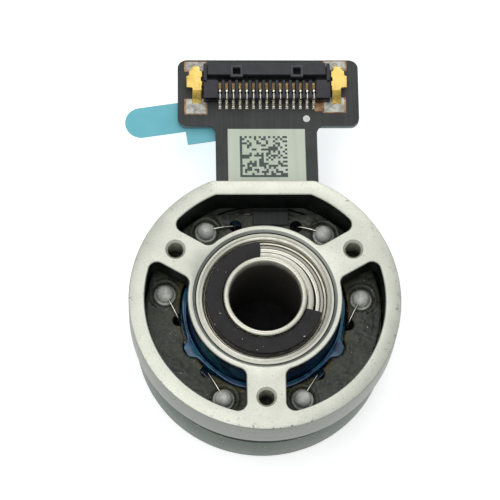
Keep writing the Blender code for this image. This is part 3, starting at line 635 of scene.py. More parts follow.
def bore_painted_shade_lining():
    """The tube's wall, bright at its mouth, with painted shade darkening it further in."""
    look = Look("bore_painted_shade", (0.02, 0.02, 0.02), 0.3, 0.42)
    wave = look.noise(1.3, 2.0)
    depth = look.math("ADD", look.height(), look.math("MULTIPLY", wave, 0.5))
    mouth = look.fade(depth, 8.75, 9.72)
    colour = look.mix(mouth, (0.07, 0.066, 0.055), (0.62, 0.60, 0.52))
    lines = look.noise(1.0, 3.0, look.stretched(0.3, 0.3, 12.0))
    return look.finish(colour, (look.noise(9.0, 2.0), 0.32, 0.5), (lines, 0.3, 0.01))


def black_spring():
    look = Look("blackened_spring_steel", (0.03, 0.03, 0.034), 0.0, 0.55, Specular_IOR_Level=0.3)
    grain = look.noise(13.0, 3.0)
    base = look.blend(grain, 0.35, 0.65, (0.007, 0.0065, 0.0065), (0.015, 0.014, 0.0145))
    dust = look.fade(look.noise(5.5, 2.0), 0.745, 0.76)
    colour = look.mix(dust, base, (0.55, 0.54, 0.50))
    return look.finish(colour, (look.noise(1.4, 3.0), 0.4, 0.6, 0.35, 0.7), (grain, 0.4, 0.01))


def magnet_metal():
    look = Look("nickel_magnet", (0.5, 0.5, 0.48), 1.0, 0.3)
    cloud = look.noise(2.0, 4.0)
    colour = look.blend(cloud, 0.35, 0.7, (0.30, 0.30, 0.29), (0.42, 0.41, 0.39))
    return look.finish(colour, (cloud, 0.24, 0.4), (look.noise(14.0, 2.0), 0.2, 0.008))


def lamination_steel():
    look = Look("stacked_lamination", (0.25, 0.25, 0.26), 1.0, 0.45)
    sheets = look.noise(1.0, 1.0, look.stretched(0.05, 0.05, 10.0))
    colour = look.blend(sheets, 0.45, 0.55, (0.10, 0.10, 0.11), (0.34, 0.33, 0.33))
    return look.finish(colour, (look.noise(6.0, 2.0), 0.38, 0.55), (sheets, 0.8, 0.02))


def blue_insulation():
    look = Look("blue_insulation", (0.01, 0.06, 0.16), 0.0, 0.22, Coat_Weight=0.6, Coat_Roughness=0.1)
    cloud = look.noise(0.9, 3.0, distortion=0.8)
    base = look.blend(cloud, 0.36, 0.62, (0.006, 0.035, 0.12), (0.01, 0.17, 0.26))
    # Lighter lavender patches are painted highlights on the blue.
    lavender_painted_highlight = look.fade(look.noise(1.7, 2.0), 0.58, 0.72, 0.0, 0.6)
    colour = look.mix(lavender_painted_highlight, base, (0.10, 0.16, 0.34))
    return look.finish(colour, (look.noise(5.0, 2.0), 0.18, 0.34), (look.noise(3.0, 3.0), 0.35, 0.03))


def copper_wire():
    look = Look("enamelled_copper", (0.5, 0.17, 0.05), 0.9, 0.28, Coat_Weight=0.5, Coat_Roughness=0.12)
    cloud = look.noise(3.0, 3.0)
    colour = look.blend(cloud, 0.35, 0.7, (0.42, 0.13, 0.04), (0.66, 0.27, 0.09))
    return look.finish(colour, (cloud, 0.22, 0.36), (look.noise(9.0, 2.0), 0.2, 0.006))


def solder_metal(name, light, dark):
    look = Look(name, light, 0.0, 0.4)
    cloud = look.noise(2.4, 4.0, distortion=0.4)
    grain = look.noise(15.0, 3.0)
    base = look.blend(cloud, 0.36, 0.66, light, dark)
    colour = look.blend(grain, 0.62, 0.7, base, (0.22, 0.21, 0.19), 0.6)
    return look.finish(colour, (cloud, 0.3, 0.46), (look.noise(6.0, 4.0), 0.4, 0.02))


def tinned_wire():
    look = Look("tinned_wire", (0.8, 0.77, 0.68), 1.0, 0.24)
    cloud = look.noise(4.0, 3.0)
    colour = look.blend(cloud, 0.4, 0.7, (0.86, 0.83, 0.74), (0.60, 0.52, 0.40))
    return look.finish(colour, (cloud, 0.18, 0.34), (look.noise(12.0, 2.0), 0.2, 0.006))


def board_resin():
    """Dark, glossy potting, olive towards its inner edge."""
    look = Look("potted_board", (0.03, 0.035, 0.027), 0.0, 0.34, Specular_IOR_Level=0.35)
    cloud = look.noise(0.9, 4.0, distortion=0.5)
    fine = look.noise(5.0, 4.0, roughness=0.65)
    base = look.blend(cloud, 0.36, 0.64, (0.016, 0.023, 0.017), (0.058, 0.066, 0.047))
    base = look.blend(fine, 0.46, 0.66, base, (0.105, 0.108, 0.075), 0.7)
    shore = look.math("ADD", look.radius(), look.math("MULTIPLY", look.noise(1.4, 3.0), 0.9))
    base = look.mix(look.fade(shore, 6.5, 7.05, 0.8, 0.0), base, (0.115, 0.095, 0.035))
    dust = look.fade(look.noise(4.3, 2.0), 0.73, 0.75)
    colour = look.mix(dust, base, (0.62, 0.62, 0.56))
    return look.finish(colour, (cloud, 0.2, 0.5, 0.35, 0.7), (fine, 0.45, 0.03))


def flex_film():
    dark = (0.026, 0.029, 0.028)
    light = (0.040, 0.043, 0.040)
    look = Look("flexible_circuit", dark, 0.0, 0.5, Specular_IOR_Level=0.35)
    cloud = look.noise(0.5, 3.0)
    grain = look.noise(12.0, 3.0)
    traces = look.noise(1.0, 1.0, look.stretched(7.0, 0.12, 0.1))
    base = look.blend(cloud, 0.35, 0.65, dark, light)
    colour = look.blend(traces, 0.5, 0.62, base, (0.058, 0.06, 0.054), 0.3)
    relief = look.math("ADD", traces, look.math("MULTIPLY", grain, 0.3))
    return look.finish(colour, (grain, 0.4, 0.58), (relief, 0.25, 0.015))


def stiffener_board():
    look = Look("board_stiffener", (0.12, 0.15, 0.15), 0.0, 0.5)
    weave = look.noise(1.0, 1.0, look.stretched(9.0, 9.0, 22.0))
    colour = look.blend(weave, 0.4, 0.6, (0.10, 0.13, 0.135), (0.19, 0.23, 0.23))
    return look.finish(colour, (look.noise(5.0, 2.0), 0.42, 0.6), (weave, 0.3, 0.015))


def label_paper():
    look = Look("label_paper", (0.53, 0.58, 0.49), 0.0, 0.62)
    fibre = look.noise(9.0, 5.0, roughness=0.7)
    bands = look.noise(1.0, 2.0, look.stretched(1.1, 0.03, 0.1))
    base = look.blend(bands, 0.35, 0.65, (0.50, 0.56, 0.44), (0.58, 0.63, 0.52))
    colour = look.blend(fibre, 0.5, 0.7, base, (0.43, 0.48, 0.38), 0.25)
    return look.finish(colour, (fibre, 0.52, 0.7), (fibre, 0.2, 0.01))


def label_ink():
    look = Look("label_ink", (0.05, 0.07, 0.065), 0.0, 0.6)
    wear = look.noise(14.0, 3.0)
    colour = look.blend(wear, 0.45, 0.75, (0.045, 0.062, 0.058), (0.12, 0.15, 0.13))
    return look.finish(colour, (wear, 0.5, 0.7), (wear, 0.2, 0.006))


def liner_film():
    look = Look("release_liner", (0.13, 0.48, 0.56), 0.0, 0.38, Coat_Weight=0.25, Coat_Roughness=0.25)
    cloud = look.noise(0.35, 2.0)
    fine = look.noise(10.0, 2.0)
    base = look.blend(cloud, 0.35, 0.65, (0.115, 0.46, 0.545), (0.15, 0.52, 0.60))
    colour = look.blend(fine, 0.55, 0.75, base, (0.20, 0.51, 0.57), 0.3)
    return look.finish(colour, (cloud, 0.32, 0.46), (look.noise(1.2, 2.0), 0.2, 0.02))


def moulded_plastic(name, dark, light, roughness=0.42):
    look = Look(name, dark, 0.0, roughness)
    cloud = look.noise(1.8, 3.0)
    grain = look.noise(18.0, 3.0)
    colour = look.blend(cloud, 0.35, 0.68, dark, light)
    return look.finish(colour, (grain, roughness - 0.08, roughness + 0.12), (grain, 0.35, 0.01))


def gold_plate(name, light, dark):
    look = Look(name, light, 0.85, 0.36)
    grain = look.noise(7.0, 4.0, roughness=0.7)
    cloud = look.noise(1.5, 2.0)
    base = look.blend(cloud, 0.4, 0.7, light, dark, 0.6)
    colour = look.blend(grain, 0.55, 0.68, base, (0.97, 0.80, 0.38), 0.7)
    return look.finish(colour, (grain, 0.28, 0.48), (grain, 0.5, 0.02))


def bare_copper():
    look = Look("oxidised_copper", (0.34, 0.16, 0.06), 0.3, 0.5)
    cloud = look.noise(2.6, 4.0)
    base = look.blend(cloud, 0.38, 0.62, (0.22, 0.10, 0.045), (0.46, 0.27, 0.12))
    colour = look.blend(look.noise(6.0, 3.0), 0.6, 0.7, base, (0.62, 0.50, 0.30))
    return look.finish(colour, (cloud, 0.4, 0.6), (cloud, 0.3, 0.015))


def white_ink():
    look = Look("white_ink", (0.7, 0.71, 0.68), 0.0, 0.55)
    cloud = look.noise(6.0, 3.0)
    colour = look.blend(cloud, 0.4, 0.7, (0.74, 0.75, 0.72), (0.56, 0.57, 0.54))
    return look.finish(colour, (cloud, 0.48, 0.62), (cloud, 0.2, 0.008))


def pale_floor():
    look = Look("pale_floor", (0.85, 0.85, 0.85), 0.0, 0.9)
    cloud = look.noise(0.004, 2.0)
    colour = look.blend(cloud, 0.3, 0.7, (0.86, 0.86, 0.86), (0.88, 0.88, 0.88))
    look.feed(look.shader, "Base Color", colour)
    look.shader.inputs["Emission Color"].default_value = (1.0, 1.0, 1.0, 1.0)
    look.shader.inputs["Emission Strength"].default_value = 0.5
    return look.material


SATIN = satin_face()
SIDE_PAINTED_SHADE = turned_side_painted_shade()
PAINTED_SHADE_BLACK = painted_shade_wall()
BELL = bell_metal()
RACE = ground_steel("ground_race_steel", (0.62, 0.615, 0.53), (0.40, 0.395, 0.34), 18.0, 0.36)
SHIELD = ground_steel("pressed_shield_steel", (0.44, 0.42, 0.37), (0.29, 0.28, 0.25), 10.0, 0.36)
LIP = ground_steel("polished_shield_lip", (0.72, 0.70, 0.60), (0.56, 0.54, 0.47), 18.0, 0.26)
SHAFT = ground_steel("polished_shaft_steel", (0.68, 0.67, 0.57), (0.54, 0.53, 0.45), 16.0, 0.3)
BORE_PAINTED_SHADE = bore_painted_shade_lining()
SPRING = black_spring()
MAGNET = magnet_metal()
LAMINATION = lamination_steel()
INSULATION = blue_insulation()
COPPER = copper_wire()
SOLDER = solder_metal("soft_solder", (0.86, 0.87, 0.80), (0.60, 0.61, 0.56))
PAD_TIN = solder_metal("pad_tin", (0.62, 0.62, 0.56), (0.30, 0.29, 0.26))
WIRE = tinned_wire()
BOARD = board_resin()
FLEX = flex_film()
STIFFENER = stiffener_board()
PAPER = label_paper()
INK = label_ink()
LINER = liner_film()
HOUSING = moulded_plastic("housing_plastic", (0.009, 0.009, 0.013), (0.019, 0.018, 0.026))
LATCH = moulded_plastic("latch_plastic", (0.020, 0.020, 0.023), (0.030, 0.030, 0.034), 0.5)
# Painted light: a lighter copy of the latch plastic for its raised frames.
FRAME_PAINTED_LIGHT = moulded_plastic("latch_frame_plastic_painted_light", (0.040, 0.040, 0.047), (0.058, 0.058, 0.066), 0.5)
SENSOR = moulded_plastic("sensor_epoxy", (0.012, 0.012, 0.013), (0.03, 0.03, 0.031))
CAGE = moulded_plastic("cage_polymer", (0.20, 0.16, 0.10), (0.34, 0.28, 0.19))
GOLD = gold_plate("gold_plate", (0.86, 0.62, 0.18), (0.60, 0.38, 0.07))
# Painted shade: a darker copy of the gold for the tab's sloping tongue.
GOLD_PAINTED_SHADE = gold_plate("gold_plate_painted_shade", (0.42, 0.30, 0.06), (0.26, 0.17, 0.03))
CONTACT_GOLD = gold_plate("contact_plating", (0.24, 0.16, 0.07), (0.10, 0.06, 0.025))
BARE_COPPER = bare_copper()
WHITE_INK = white_ink()


# Bracket and front bearing


def body_outline(inset=0.0):
    """The bracket's round edge with its flat, whose corners are eased."""
    radius = BODY_R - inset
    corner = FLAT_CORNER_R - inset
    reach = radius - corner
    lean = math.degrees(math.asin((FLAT_Y - FLAT_CORNER_R) / reach))
    x, y = polar(reach, lean)
    points = arc((0, 0), radius, 180 - lean, 360 + lean, 240)
    points += arc((x, y), corner, lean, 90, 8)
    points += arc((-x, y), corner, 90, 180 - lean, 8)
    return outline_of(points)


def window_outline(middle, grow=0.0):
    """A sector between two spokes with a fillet in each corner. The top one is cut by a flat."""
    fillet = WINDOW_CORNER_R + grow
    outer = WINDOW_OUTER_R - WINDOW_CORNER_R
    inner = WINDOW_INNER_R + WINDOW_CORNER_R
    reach = SPOKE_HALF_WIDTH + WINDOW_CORNER_R
    outer_lean = math.degrees(math.asin(reach / outer))
    inner_lean = math.degrees(math.asin(reach / inner))
    right = middle - 60
    left = middle + 60
    radius = WINDOW_OUTER_R + grow
    points = arc(polar(inner, right + inner_lean), fillet, right + inner_lean + 180, right + 270, 12)
    points += arc(polar(outer, right + outer_lean), fillet, right - 90, right + outer_lean, 12)
    if middle == 90:
        corner = WINDOW_FLAT_CORNER_R
        far = WINDOW_OUTER_R - corner
        lean = math.degrees(math.asin((WINDOW_FLAT_Y - corner) / far))
        x, y = polar(far, lean)
        points += arc((0, 0), radius, right + outer_lean, lean, 20)
        points += arc((x, y), corner + grow, lean, 90, 12)
        points += arc((-x, y), corner + grow, 90, 180 - lean, 12)
        points += arc((0, 0), radius, 180 - lean, left - outer_lean, 20)
    else:
        points += arc((0, 0), radius, right + outer_lean, left - outer_lean, 70)
    points += arc(polar(outer, left - outer_lean), fillet, left - outer_lean, left + 90, 12)
    points += arc(polar(inner, left - inner_lean), fillet, left + 90, left - inner_lean + 180, 12)
    points += arc((0, 0), WINDOW_INNER_R - grow, left - inner_lean, right + inner_lean, 50)
    return outline_of(points)


def screw_rings(solid, centre, low, high):
    """Rings down a tapped hole, from its chamfer at the face to its lower end."""
    profile = [(SCREW_CHAMFER_R, high)]
    z = high - (SCREW_CHAMFER_R - SCREW_HOLE_R)
    while z > low + THREAD_PITCH:
        profile += [(SCREW_HOLE_R, z), (SCREW_ROOT_R, z - THREAD_PITCH / 2)]
        z -= THREAD_PITCH
    profile += [(SCREW_HOLE_R, z), (SCREW_HOLE_R, low)]
    return solid.rings(profile, 48, centre)


def bracket():
    """The casting: a rim, a web with windows and screw holes, and a hub with two bearing seats."""
    # The rim's sides, its underside and the seat's lead-in take the darker aluminium as painted shade;
    # the window walls, the rim's inside and the hub take the near-black painted shade.
    face, shaded_flank, dark = range(3)
    solid = Solid()
    side = [
        solid.ring(body_outline(RIM_CHAMFER * 0.8), FACE_Z),
        solid.ring(body_outline(RIM_CHAMFER * 0.25), FACE_Z - RIM_CHAMFER * 0.3),
        solid.ring(body_outline(), FACE_Z - RIM_CHAMFER),
        solid.ring(body_outline(), RIM_LOW_Z + RIM_CHAMFER),
        solid.ring(body_outline(RIM_CHAMFER), RIM_LOW_Z),
    ]
    solid.walls(side[:2], face)
    solid.walls(side[1:], shaded_flank)
    inside = [solid.ring(circle(RIM_INNER_R), RIM_LOW_Z), solid.ring(circle(RIM_INNER_R), WEB_LOW_Z)]
    solid.cap([side[-1], inside[0]], shaded_flank)
    solid.wall(*inside, dark)
    tops = []
    lows = []
    for angle in WINDOW_ANGLES:
        rings = [
            solid.ring(window_outline(angle, WINDOW_EDGE), FACE_Z),
            solid.ring(window_outline(angle), FACE_Z - WINDOW_EDGE),
            solid.ring(window_outline(angle), WEB_LOW_Z),
        ]
        solid.wall(rings[0], rings[1], face)
        solid.wall(rings[1], rings[2], dark)
        tops.append(rings[0])
        lows.append(rings[-1])
    for angle in SPOKE_ANGLES:
        rings = screw_rings(solid, polar(SCREW_CIRCLE_R, angle), WEB_LOW_Z, FACE_Z)
        solid.walls(rings, face)
        tops.append(rings[0])
        lows.append(rings[-1])
    across, down = SEAT_LEAD_IN
    hub = [
        (HUB_R, WEB_LOW_Z),
        (HUB_R, HUB_LOW_Z + HUB_CHAMFER),
        (HUB_R - HUB_CHAMFER, HUB_LOW_Z),
        (SEAT_R + HUB_CHAMFER, HUB_LOW_Z),
        (SEAT_R, HUB_LOW_Z + HUB_CHAMFER),
        (SEAT_R, SHOULDER_LOW_Z),
        (SHOULDER_R, SHOULDER_LOW_Z),
        (SHOULDER_R, SHOULDER_TOP_Z),
        (SEAT_R, SHOULDER_TOP_Z),
        (SEAT_R, FACE_Z - down),
        (SEAT_R + across, FACE_Z),
    ]
    rings = solid.rings(hub)
    solid.walls(rings[:-1], dark)
    solid.wall(rings[-2], rings[-1], shaded_flank)
    solid.cap([side[0], rings[-1], *tops], face)
    solid.cap([inside[-1], rings[0], *lows], dark)
    looks = [SATIN, SIDE_PAINTED_SHADE, PAINTED_SHADE_BLACK]
    obj = piece("bracket_casting", solid.bm, looks, "front_bracket")
    carve(obj, block(*TAIL_GAP, 0.0, 0.12))


def painted_shade_skirt():
    """A wall in painted shade behind the flat of the top window."""
    reach = math.degrees(math.asin(WINDOW_FLAT_Y / RIM_INNER_R))
    outline = arc((0, 0), RIM_INNER_R + 0.03, reach, 180 - reach, 40)
    skirt = prism([outline], SKIRT_LOW_Z, WEB_LOW_Z + 0.02, 0.02)
    piece("painted_shade_skirt", skirt, [PAINTED_SHADE_BLACK])


def bearing_race(name, bore, outside, groove_side, node):
    """A race with rounded rims and a ball groove in one wall. The outer one has a scored rim."""
    edge = 0.09
    low = FRONT_LOW_Z
    high = FRONT_TOP_Z
    reach = abs((outside if groove_side > 0 else bore) - BALL_CIRCLE_R)
    half = math.degrees(math.acos(reach / BALL_GROOVE_R))
    facing = 180 if groove_side > 0 else 0
    groove = arc((BALL_CIRCLE_R, (low + high) / 2), BALL_GROOVE_R, facing + half, facing - half, 8)
    corner = [(0, 1), (0.3, 0.3), (1, 0)]
    inner_low = [(bore + edge * b, low + edge * a) for a, b in corner]
    inner_high = [(bore + edge * b, high - edge * a) for a, b in corner]
    outer_low = [(outside - edge * b, low + edge * a) for a, b in corner]
    outer_high = [(outside - edge * b, high - edge * a) for a, b in corner]
    if groove_side < 0:
        score = [(0, 0.1), (0.05, 0.02), (0.2, 0.02), (0.21, 0.14), (0.26, 0.14), (0.27, 0)]
        outer_high = [(outside - b, high - a) for b, a in score]
    if groove_side > 0:
        profile = [*reversed(inner_low), *outer_low, *groove, *reversed(outer_high), *inner_high]
    else:
        profile = [*reversed(inner_low), *outer_low, *reversed(outer_high), *inner_high, *groove]
    body = "rotor" if groove_side > 0 else "stator"
    piece(name, turned(profile), [RACE], node, body)


def front_shield():
    """A sunken shield with a rolled lip round its bore and a snap wire round its edge."""
    dish = [(3.97, 8.1), (4.19, 8.1), (4.19, 8.32), (4.16, 8.36), (4.0, 8.36), (3.97, 8.32)]
    wire = [(4.23, 8.1), (4.43, 8.1), (4.43, 8.34), (4.39, 8.41), (4.33, 8.43), (4.27, 8.41),
            (4.23, 8.34)]
    lip = [(3.63, 8.1), (3.94, 8.1), (3.94, 8.40), (3.90, 8.46), (3.77, 8.48), (3.67, 8.46),
           (3.63, 8.40)]
    # Painted shade: a near-black disc under the shield, seen through the gaps between its parts.
    floor = [(3.62, 8.05), (4.44, 8.05), (4.44, 8.2), (3.62, 8.2)]
    parts = [
        turned(dish),
        turned(wire, finishes=[1] * len(wire)),
        turned(lip, finishes=[1] * len(lip)),
        turned(floor, finishes=[2] * len(floor)),
    ]
    piece("front_shield", joined(parts), [SHIELD, LIP, PAINTED_SHADE_BLACK], "front_bearing_shield")


def front_bearing():
    bearing_race("front_outer_race", 4.45, 4.98, -1, "front_bearing_outer_race")
    bearing_race("front_inner_race", 3.03, 3.5, 1, "front_bearing_inner_race")
    front_shield()


# Rotor


def bell():
    """A cup with a band of painted shadow above its turned side, and a back with a groove, a dent and
    holes.
    """
    bare, dark = range(2)
    solid = Solid()
    side = [
        (8.95, 0), (9.02, 0.015), (9.18, 0.14), (9.235, 0.24), (BELL_R, 0.33), (BELL_R, SHADOW_BAND_LOW_Z),
        (BELL_R - 0.02, SHADOW_BAND_LOW_Z + 0.04), (BELL_R - 0.02, 5.40), (9.22, 5.46),
        (9.18, BELL_TOP_Z), (8.78, BELL_TOP_Z), (BELL_INNER_R, 5.44), (BELL_INNER_R, 0.9),
        (8.52, PLATE_TOP_Z), (4.1, PLATE_TOP_Z), (4.1, 1.0), (4.05, 1.05), (3.02, 1.05),
        (3.02, PLATE_TOP_Z),
    ]
    rings = solid.rings(side)
    solid.walls(rings[:7], bare)
    # Painted shadow under the bracket's rim: the band and the bell's top take the near-black finish.
    solid.walls(rings[6:12], dark)
    solid.walls(rings[11:], bare)
    # Painted shade on the plate seen down the shaft's bore.
    solid.cap([rings[-1]], dark)
    trough = solid.rings([(5.25, 0), (5.2, 0.07), (5.0, 0.07), (4.95, 0)])
    solid.walls(trough)
    dent = solid.rings([(2.7, 0), (2.66, 0.12)])
    solid.walls(dent)
    solid.cap([dent[-1]])
    solid.cap([trough[-1], dent[0]])
    holes = []
    for angle in SPOKE_ANGLES:
        centre = polar(SCREW_CIRCLE_R, angle)
        drill = [(0.7, 0), (SCREW_HOLE_R, 0.13), (SCREW_HOLE_R, 0.55)]
        hole = solid.rings(drill, 40, centre)
        solid.walls(hole)
        solid.cap([hole[-1]])
        holes.append(hole[0])
    solid.cap([rings[0], trough[0], *holes])
    piece("bell_shell", solid.bm, [BELL, PAINTED_SHADE_BLACK], "rotor_bell", body="rotor")


def shaft():
    edge = 0.14
    low = PLATE_TOP_Z + 0.03
    outer = arc((SHAFT_R - edge, SHAFT_TOP_Z - edge), edge, 0, 90, 8)
    inner = arc((SHAFT_BORE_R + edge, SHAFT_TOP_Z - edge), edge, 90, 180, 8)
    profile = [(SHAFT_BORE_R, low), (SHAFT_R, low), *outer, *inner]
    finishes = [0] * (len(profile) - 3) + [1, 1, 1]
    piece("shaft_tube", turned(profile, finishes=finishes), [SHAFT, BORE_PAINTED_SHADE], "hollow_shaft",
          body="rotor")


def snap_ring():
    """An open retaining ring. One end is cut square with eased corners, the other has a point."""
    start = RING_START
    end = RING_END
    ease = 0.14
    lean = math.degrees(ease / RING_OUTER_R)
    points = [polar(RING_OUTER_R, start + 0.6)]
    points += arc((0, 0), RING_OUTER_R, start + 1.2, end - lean, 180)
    points += arc(polar(RING_OUTER_R - ease, end - lean), ease, end - lean, end + 90, 8)
    lean = math.degrees(ease / RING_INNER_R)
    points += arc(polar(RING_INNER_R + ease, end - lean), ease, end + 90, end - lean + 180, 8)
    points += arc((0, 0), RING_INNER_R, end - lean, start + 2.0, 180)
    points += [polar(RING_INNER_R + 0.06, start + 1.0), polar(RING_INNER_R + 0.55, start - 0.6)]
    points += [polar(RING_OUTER_R - 0.12, start - 0.4)]
    bm = prism([outline_of(points)], RING_LOW_Z, RING_TOP_Z, 0.045)
    piece("snap_ring", bm, [SPRING], "retaining_ring", body="rotor")


def magnets():
    """Twelve arc magnets with a hairline between neighbours."""
    parts = []
    step = 360 / MAGNET_COUNT
    gap = 0.35
    for index in range(MAGNET_COUNT):
        start = index * step + gap
        end = (index + 1) * step - gap
        outline = arc((0, 0), MAGNET_OUTER_R, start, end, 14)
        outline += arc((0, 0), MAGNET_INNER_R, end, start, 14)
        parts.append(prism([outline], MAGNET_LOW_Z, MAGNET_TOP_Z, 0.05))
    piece("magnet_segments", joined(parts), [MAGNET], "magnet_ring", body="rotor")


# Winding and wiring board


def windings():
    """Each tooth carries two layers of round wire, turn by turn."""
    for index in range(TOOTH_COUNT):
        turns = []
        for layer in range(COIL_LAYERS):
            grow = WIRE_R + 0.015 + layer * 1.85 * WIRE_R
            half = (COIL_HALF_WIDTH + grow, COIL_HALF_HEIGHT + grow)
            loop = rounded_rectangle(*half, 0.12 + grow, steps=4)
            for turn in range(COIL_TURNS - layer):
                along = COIL_START_R + WIRE_R + 0.01 + (turn + 0.5 * layer) * TURN_PITCH
                points = [(x, along, CORE_MIDDLE_Z + z) for x, z in loop]
                turns.append(tube(points, WIRE_R, 8, closed=True))
        rotate = Matrix.Rotation(math.radians(360 * index / TOOTH_COUNT), 4, "Z")
        coil = moved(joined(turns), rotate)
        piece(f"winding_{index + 1}", coil, [COPPER], f"coil_{index + 1}", sharp=60)


def core_outline():
    """The insulator over the core: a stem and a shoe on every tooth."""
    root_r = 6.05
    neck_r = 7.45
    shoulder_r = 7.6
    shoe_r = 7.95
    half_stem = 0.6
    half_shoe = 15.5
    outline = []
    for index in range(TOOTH_COUNT):
        middle = 90 + 360 * index / TOOTH_COUNT
        root = math.degrees(math.asin(half_stem / root_r))
        neck = math.degrees(math.asin(half_stem / neck_r))
        outline += [polar(root_r, middle - root), polar(neck_r, middle - neck)]
        outline.append(polar(shoulder_r, middle - half_shoe))
        outline += arc((0, 0), shoe_r, middle - half_shoe, middle + half_shoe, 8)
        outline.append(polar(shoulder_r, middle + half_shoe))
        outline += [polar(neck_r, middle + neck), polar(root_r, middle + root)]
        gap = 360 / TOOTH_COUNT - 2 * root
        outline += [polar(root_r, middle + root + gap * step / 5) for step in range(1, 5)]
    return outline


def collar_outline(inner):
    """The insulator's collar swells out into a rounded tab behind each large notch."""
    points = []
    for i in range(ROUND * 2):
        angle = 360 * i / (ROUND * 2)
        radius = inner + 0.3 + 0.06 * math.cos(math.radians(TOOTH_COUNT * (angle - 90)))
        for notch in NOTCH_ANGLES:
            away = (angle - notch + 180) % 360 - 180
            radius += 0.5 * math.exp(-((away / 6.0) ** 4))
        points.append(polar(radius, angle))
    return points


def insulator():
    bore = circle(5.57, 128)
    plate = prism([core_outline(), bore], 3.73, 3.93, 0.03)
    collar = prism([collar_outline(5.6), circle(5.58, ROUND * 2)], 3.9, 5.95, 0.08)
    rim = turned([(5.6, 5.8), (5.74, 5.8), (5.76, 6.0), (5.72, 6.04), (5.64, 6.04), (5.6, 6.0)])
    piece("slot_insulator", joined([plate, collar, rim]), [INSULATION],
          "front_core_insulator")


def board_inner_radius(angle):
    """Where the board's inner edge lies at an angle, with the notches that open into it."""
    radius = BOARD_BORE_R
    notches = [(*polar(NOTCH_CIRCLE_R, notch), NOTCH_R) for notch in NOTCH_ANGLES]
    notches += [(*slot, LEAD_SLOT_R) for _, slot in SOLDER_PLACES if math.hypot(*slot) < 6.4]
    along = Vector(polar(1, angle))
    for x, y, size in notches:
        reach = along.dot((x, y))
        miss = abs(along.cross(Vector((x, y))))
        if reach > 0 and miss < size:
            radius = max(radius, reach + math.sqrt(size * size - miss * miss))
    return radius


def board_outer_radius(angle):
    rise = math.sin(math.radians(angle))
    return min(BOARD_R, BOARD_FLAT_Y / rise) if rise > 0 else BOARD_R


def board_height(x, y):
    """Height of the potted surface: a cup with a raised ring at each joint, and lumps of resin."""
    lump = noise.noise(Vector((x * 0.9, y * 0.9, 3.1)))
    ripple = noise.noise(Vector((x * 3.3, y * 3.3, 8.2)))
    height = BOARD_TOP_Z - 0.02 + 0.05 * lump + 0.018 * ripple
    for index, (cup, _) in enumerate(SOLDER_PLACES):
        away = math.dist(cup, (x, y))
        if away < 1.7:
            wobble = 0.04 * noise.noise(Vector((x * 1.4, y * 1.4, index)))
            crest = 0.06 * math.exp(-(((away - 1.08 - wobble) / 0.1) ** 2))
            well = min(max((CUP_R + wobble - away) / 0.12, 0), 1)
            height += crest
            height += (BOARD_TOP_Z - CUP_DEPTH - height) * well * well * (3 - 2 * well)
    return height


def board():
    """A polar grid whose top is a height field, closed by an underside and two edges."""
    solid = Solid()
    columns = 720
    rows = 44
    bevel = 0.05
    grid = []
    for row in range(rows + 1):
        ring = []
        for column in range(columns):
            angle = 360 * column / columns
            inner = board_inner_radius(angle)
            outer = board_outer_radius(angle)
            radius = inner + (outer - inner) * row / rows
            x, y = polar(radius, angle)
            height = board_height(x, y)
            edge = min(radius - inner, outer - radius)
            height -= bevel * max(1 - edge / 0.12, 0) ** 2
            ring.append(solid.bm.verts.new((x, y, height)))
        grid.append(ring)
    solid.walls(grid)
    inner_low = [solid.bm.verts.new((v.co.x, v.co.y, BOARD_LOW_Z)) for v in grid[0]]
    outer_low = [solid.bm.verts.new((v.co.x, v.co.y, BOARD_LOW_Z)) for v in grid[-1]]
    solid.wall(grid[0], inner_low)
    solid.wall(grid[-1], outer_low)
    solid.wall(inner_low, outer_low)
    obj = piece("potted_board", solid.bm, [BOARD], "wiring_board", sharp=50)
    holes = [prism([circle(LEAD_SLOT_R, 48, slot)], 5.5, 6.5)
             for _, slot in SOLDER_PLACES if math.hypot(*slot) >= 6.4]
    carve(obj, joined(holes))


def solder_dome(cup, seed):
    """A lopsided bead of solder that spreads into a foot at its base."""
    profile = [(0, -0.24), (0.78, -0.24), (0.77, -0.2), (0.70, -0.15)]
    profile += arc((0, 0), SOLDER_R, -10, 90, 22)[:-1]
    profile.append((0, SOLDER_R))
    bm = turned(profile, 64)
    for vert in bm.verts:
        high = max(vert.co.z + 0.15, 0)
        drift = noise.noise_vector(Vector((vert.co.x * 1.1 + seed, vert.co.y * 1.1, vert.co.z)))
        fine = noise.noise(vert.co * 5.0 + Vector((seed, 0, 0)))
        vert.co += drift * 0.07 * high
        vert.co *= 1 + 0.004 * fine
    return moved(bm, Matrix.Translation((*cup, BOARD_TOP_Z)))


def solder_joints():
    for number, (cup, slot) in enumerate(SOLDER_PLACES, start=1):
        dome = solder_dome(cup, number * 7.3)
        piece(f"solder_bead_{number}", dome, [SOLDER], f"solder_joint_{number}", sharp=60)
        base = Vector((*slot, BOARD_LOW_Z - 0.15))
        top = Vector((*cup, BOARD_TOP_Z + 0.3))
        flat = Vector((base.x - top.x, base.y - top.y, 0)).normalized()
        stop = top + flat * (SOLDER_R - 0.05)
        over = Vector((base.x, base.y, BOARD_TOP_Z + 0.08)).lerp(stop, 0.14)
        crest = over.lerp(stop, 0.5) + Vector((0, 0, 0.1))
        under = base.lerp(over, 0.4)
        path = smooth_path([base, under, over, crest, stop])
        piece(f"lead_wire_{number}", tube(path, 0.08, 10), [WIRE], f"coil_lead_{number}",
              sharp=60)


# Flexible tail


def eased(value, low, high):
    share = min(max((value - low) / (high - low), 0), 1)
    return share * share * (3 - 2 * share)


def tail_height(y):
    dip = (TAIL_LIP_Z - ROOT_Z) * eased(y, ROOT_BEND_Y, ROOT_END_Y)
    return ROOT_Z + dip + (PAD_Z - TAIL_LIP_Z) * eased(y, TAIL_BEND_Y, TAIL_FLAT_Y)


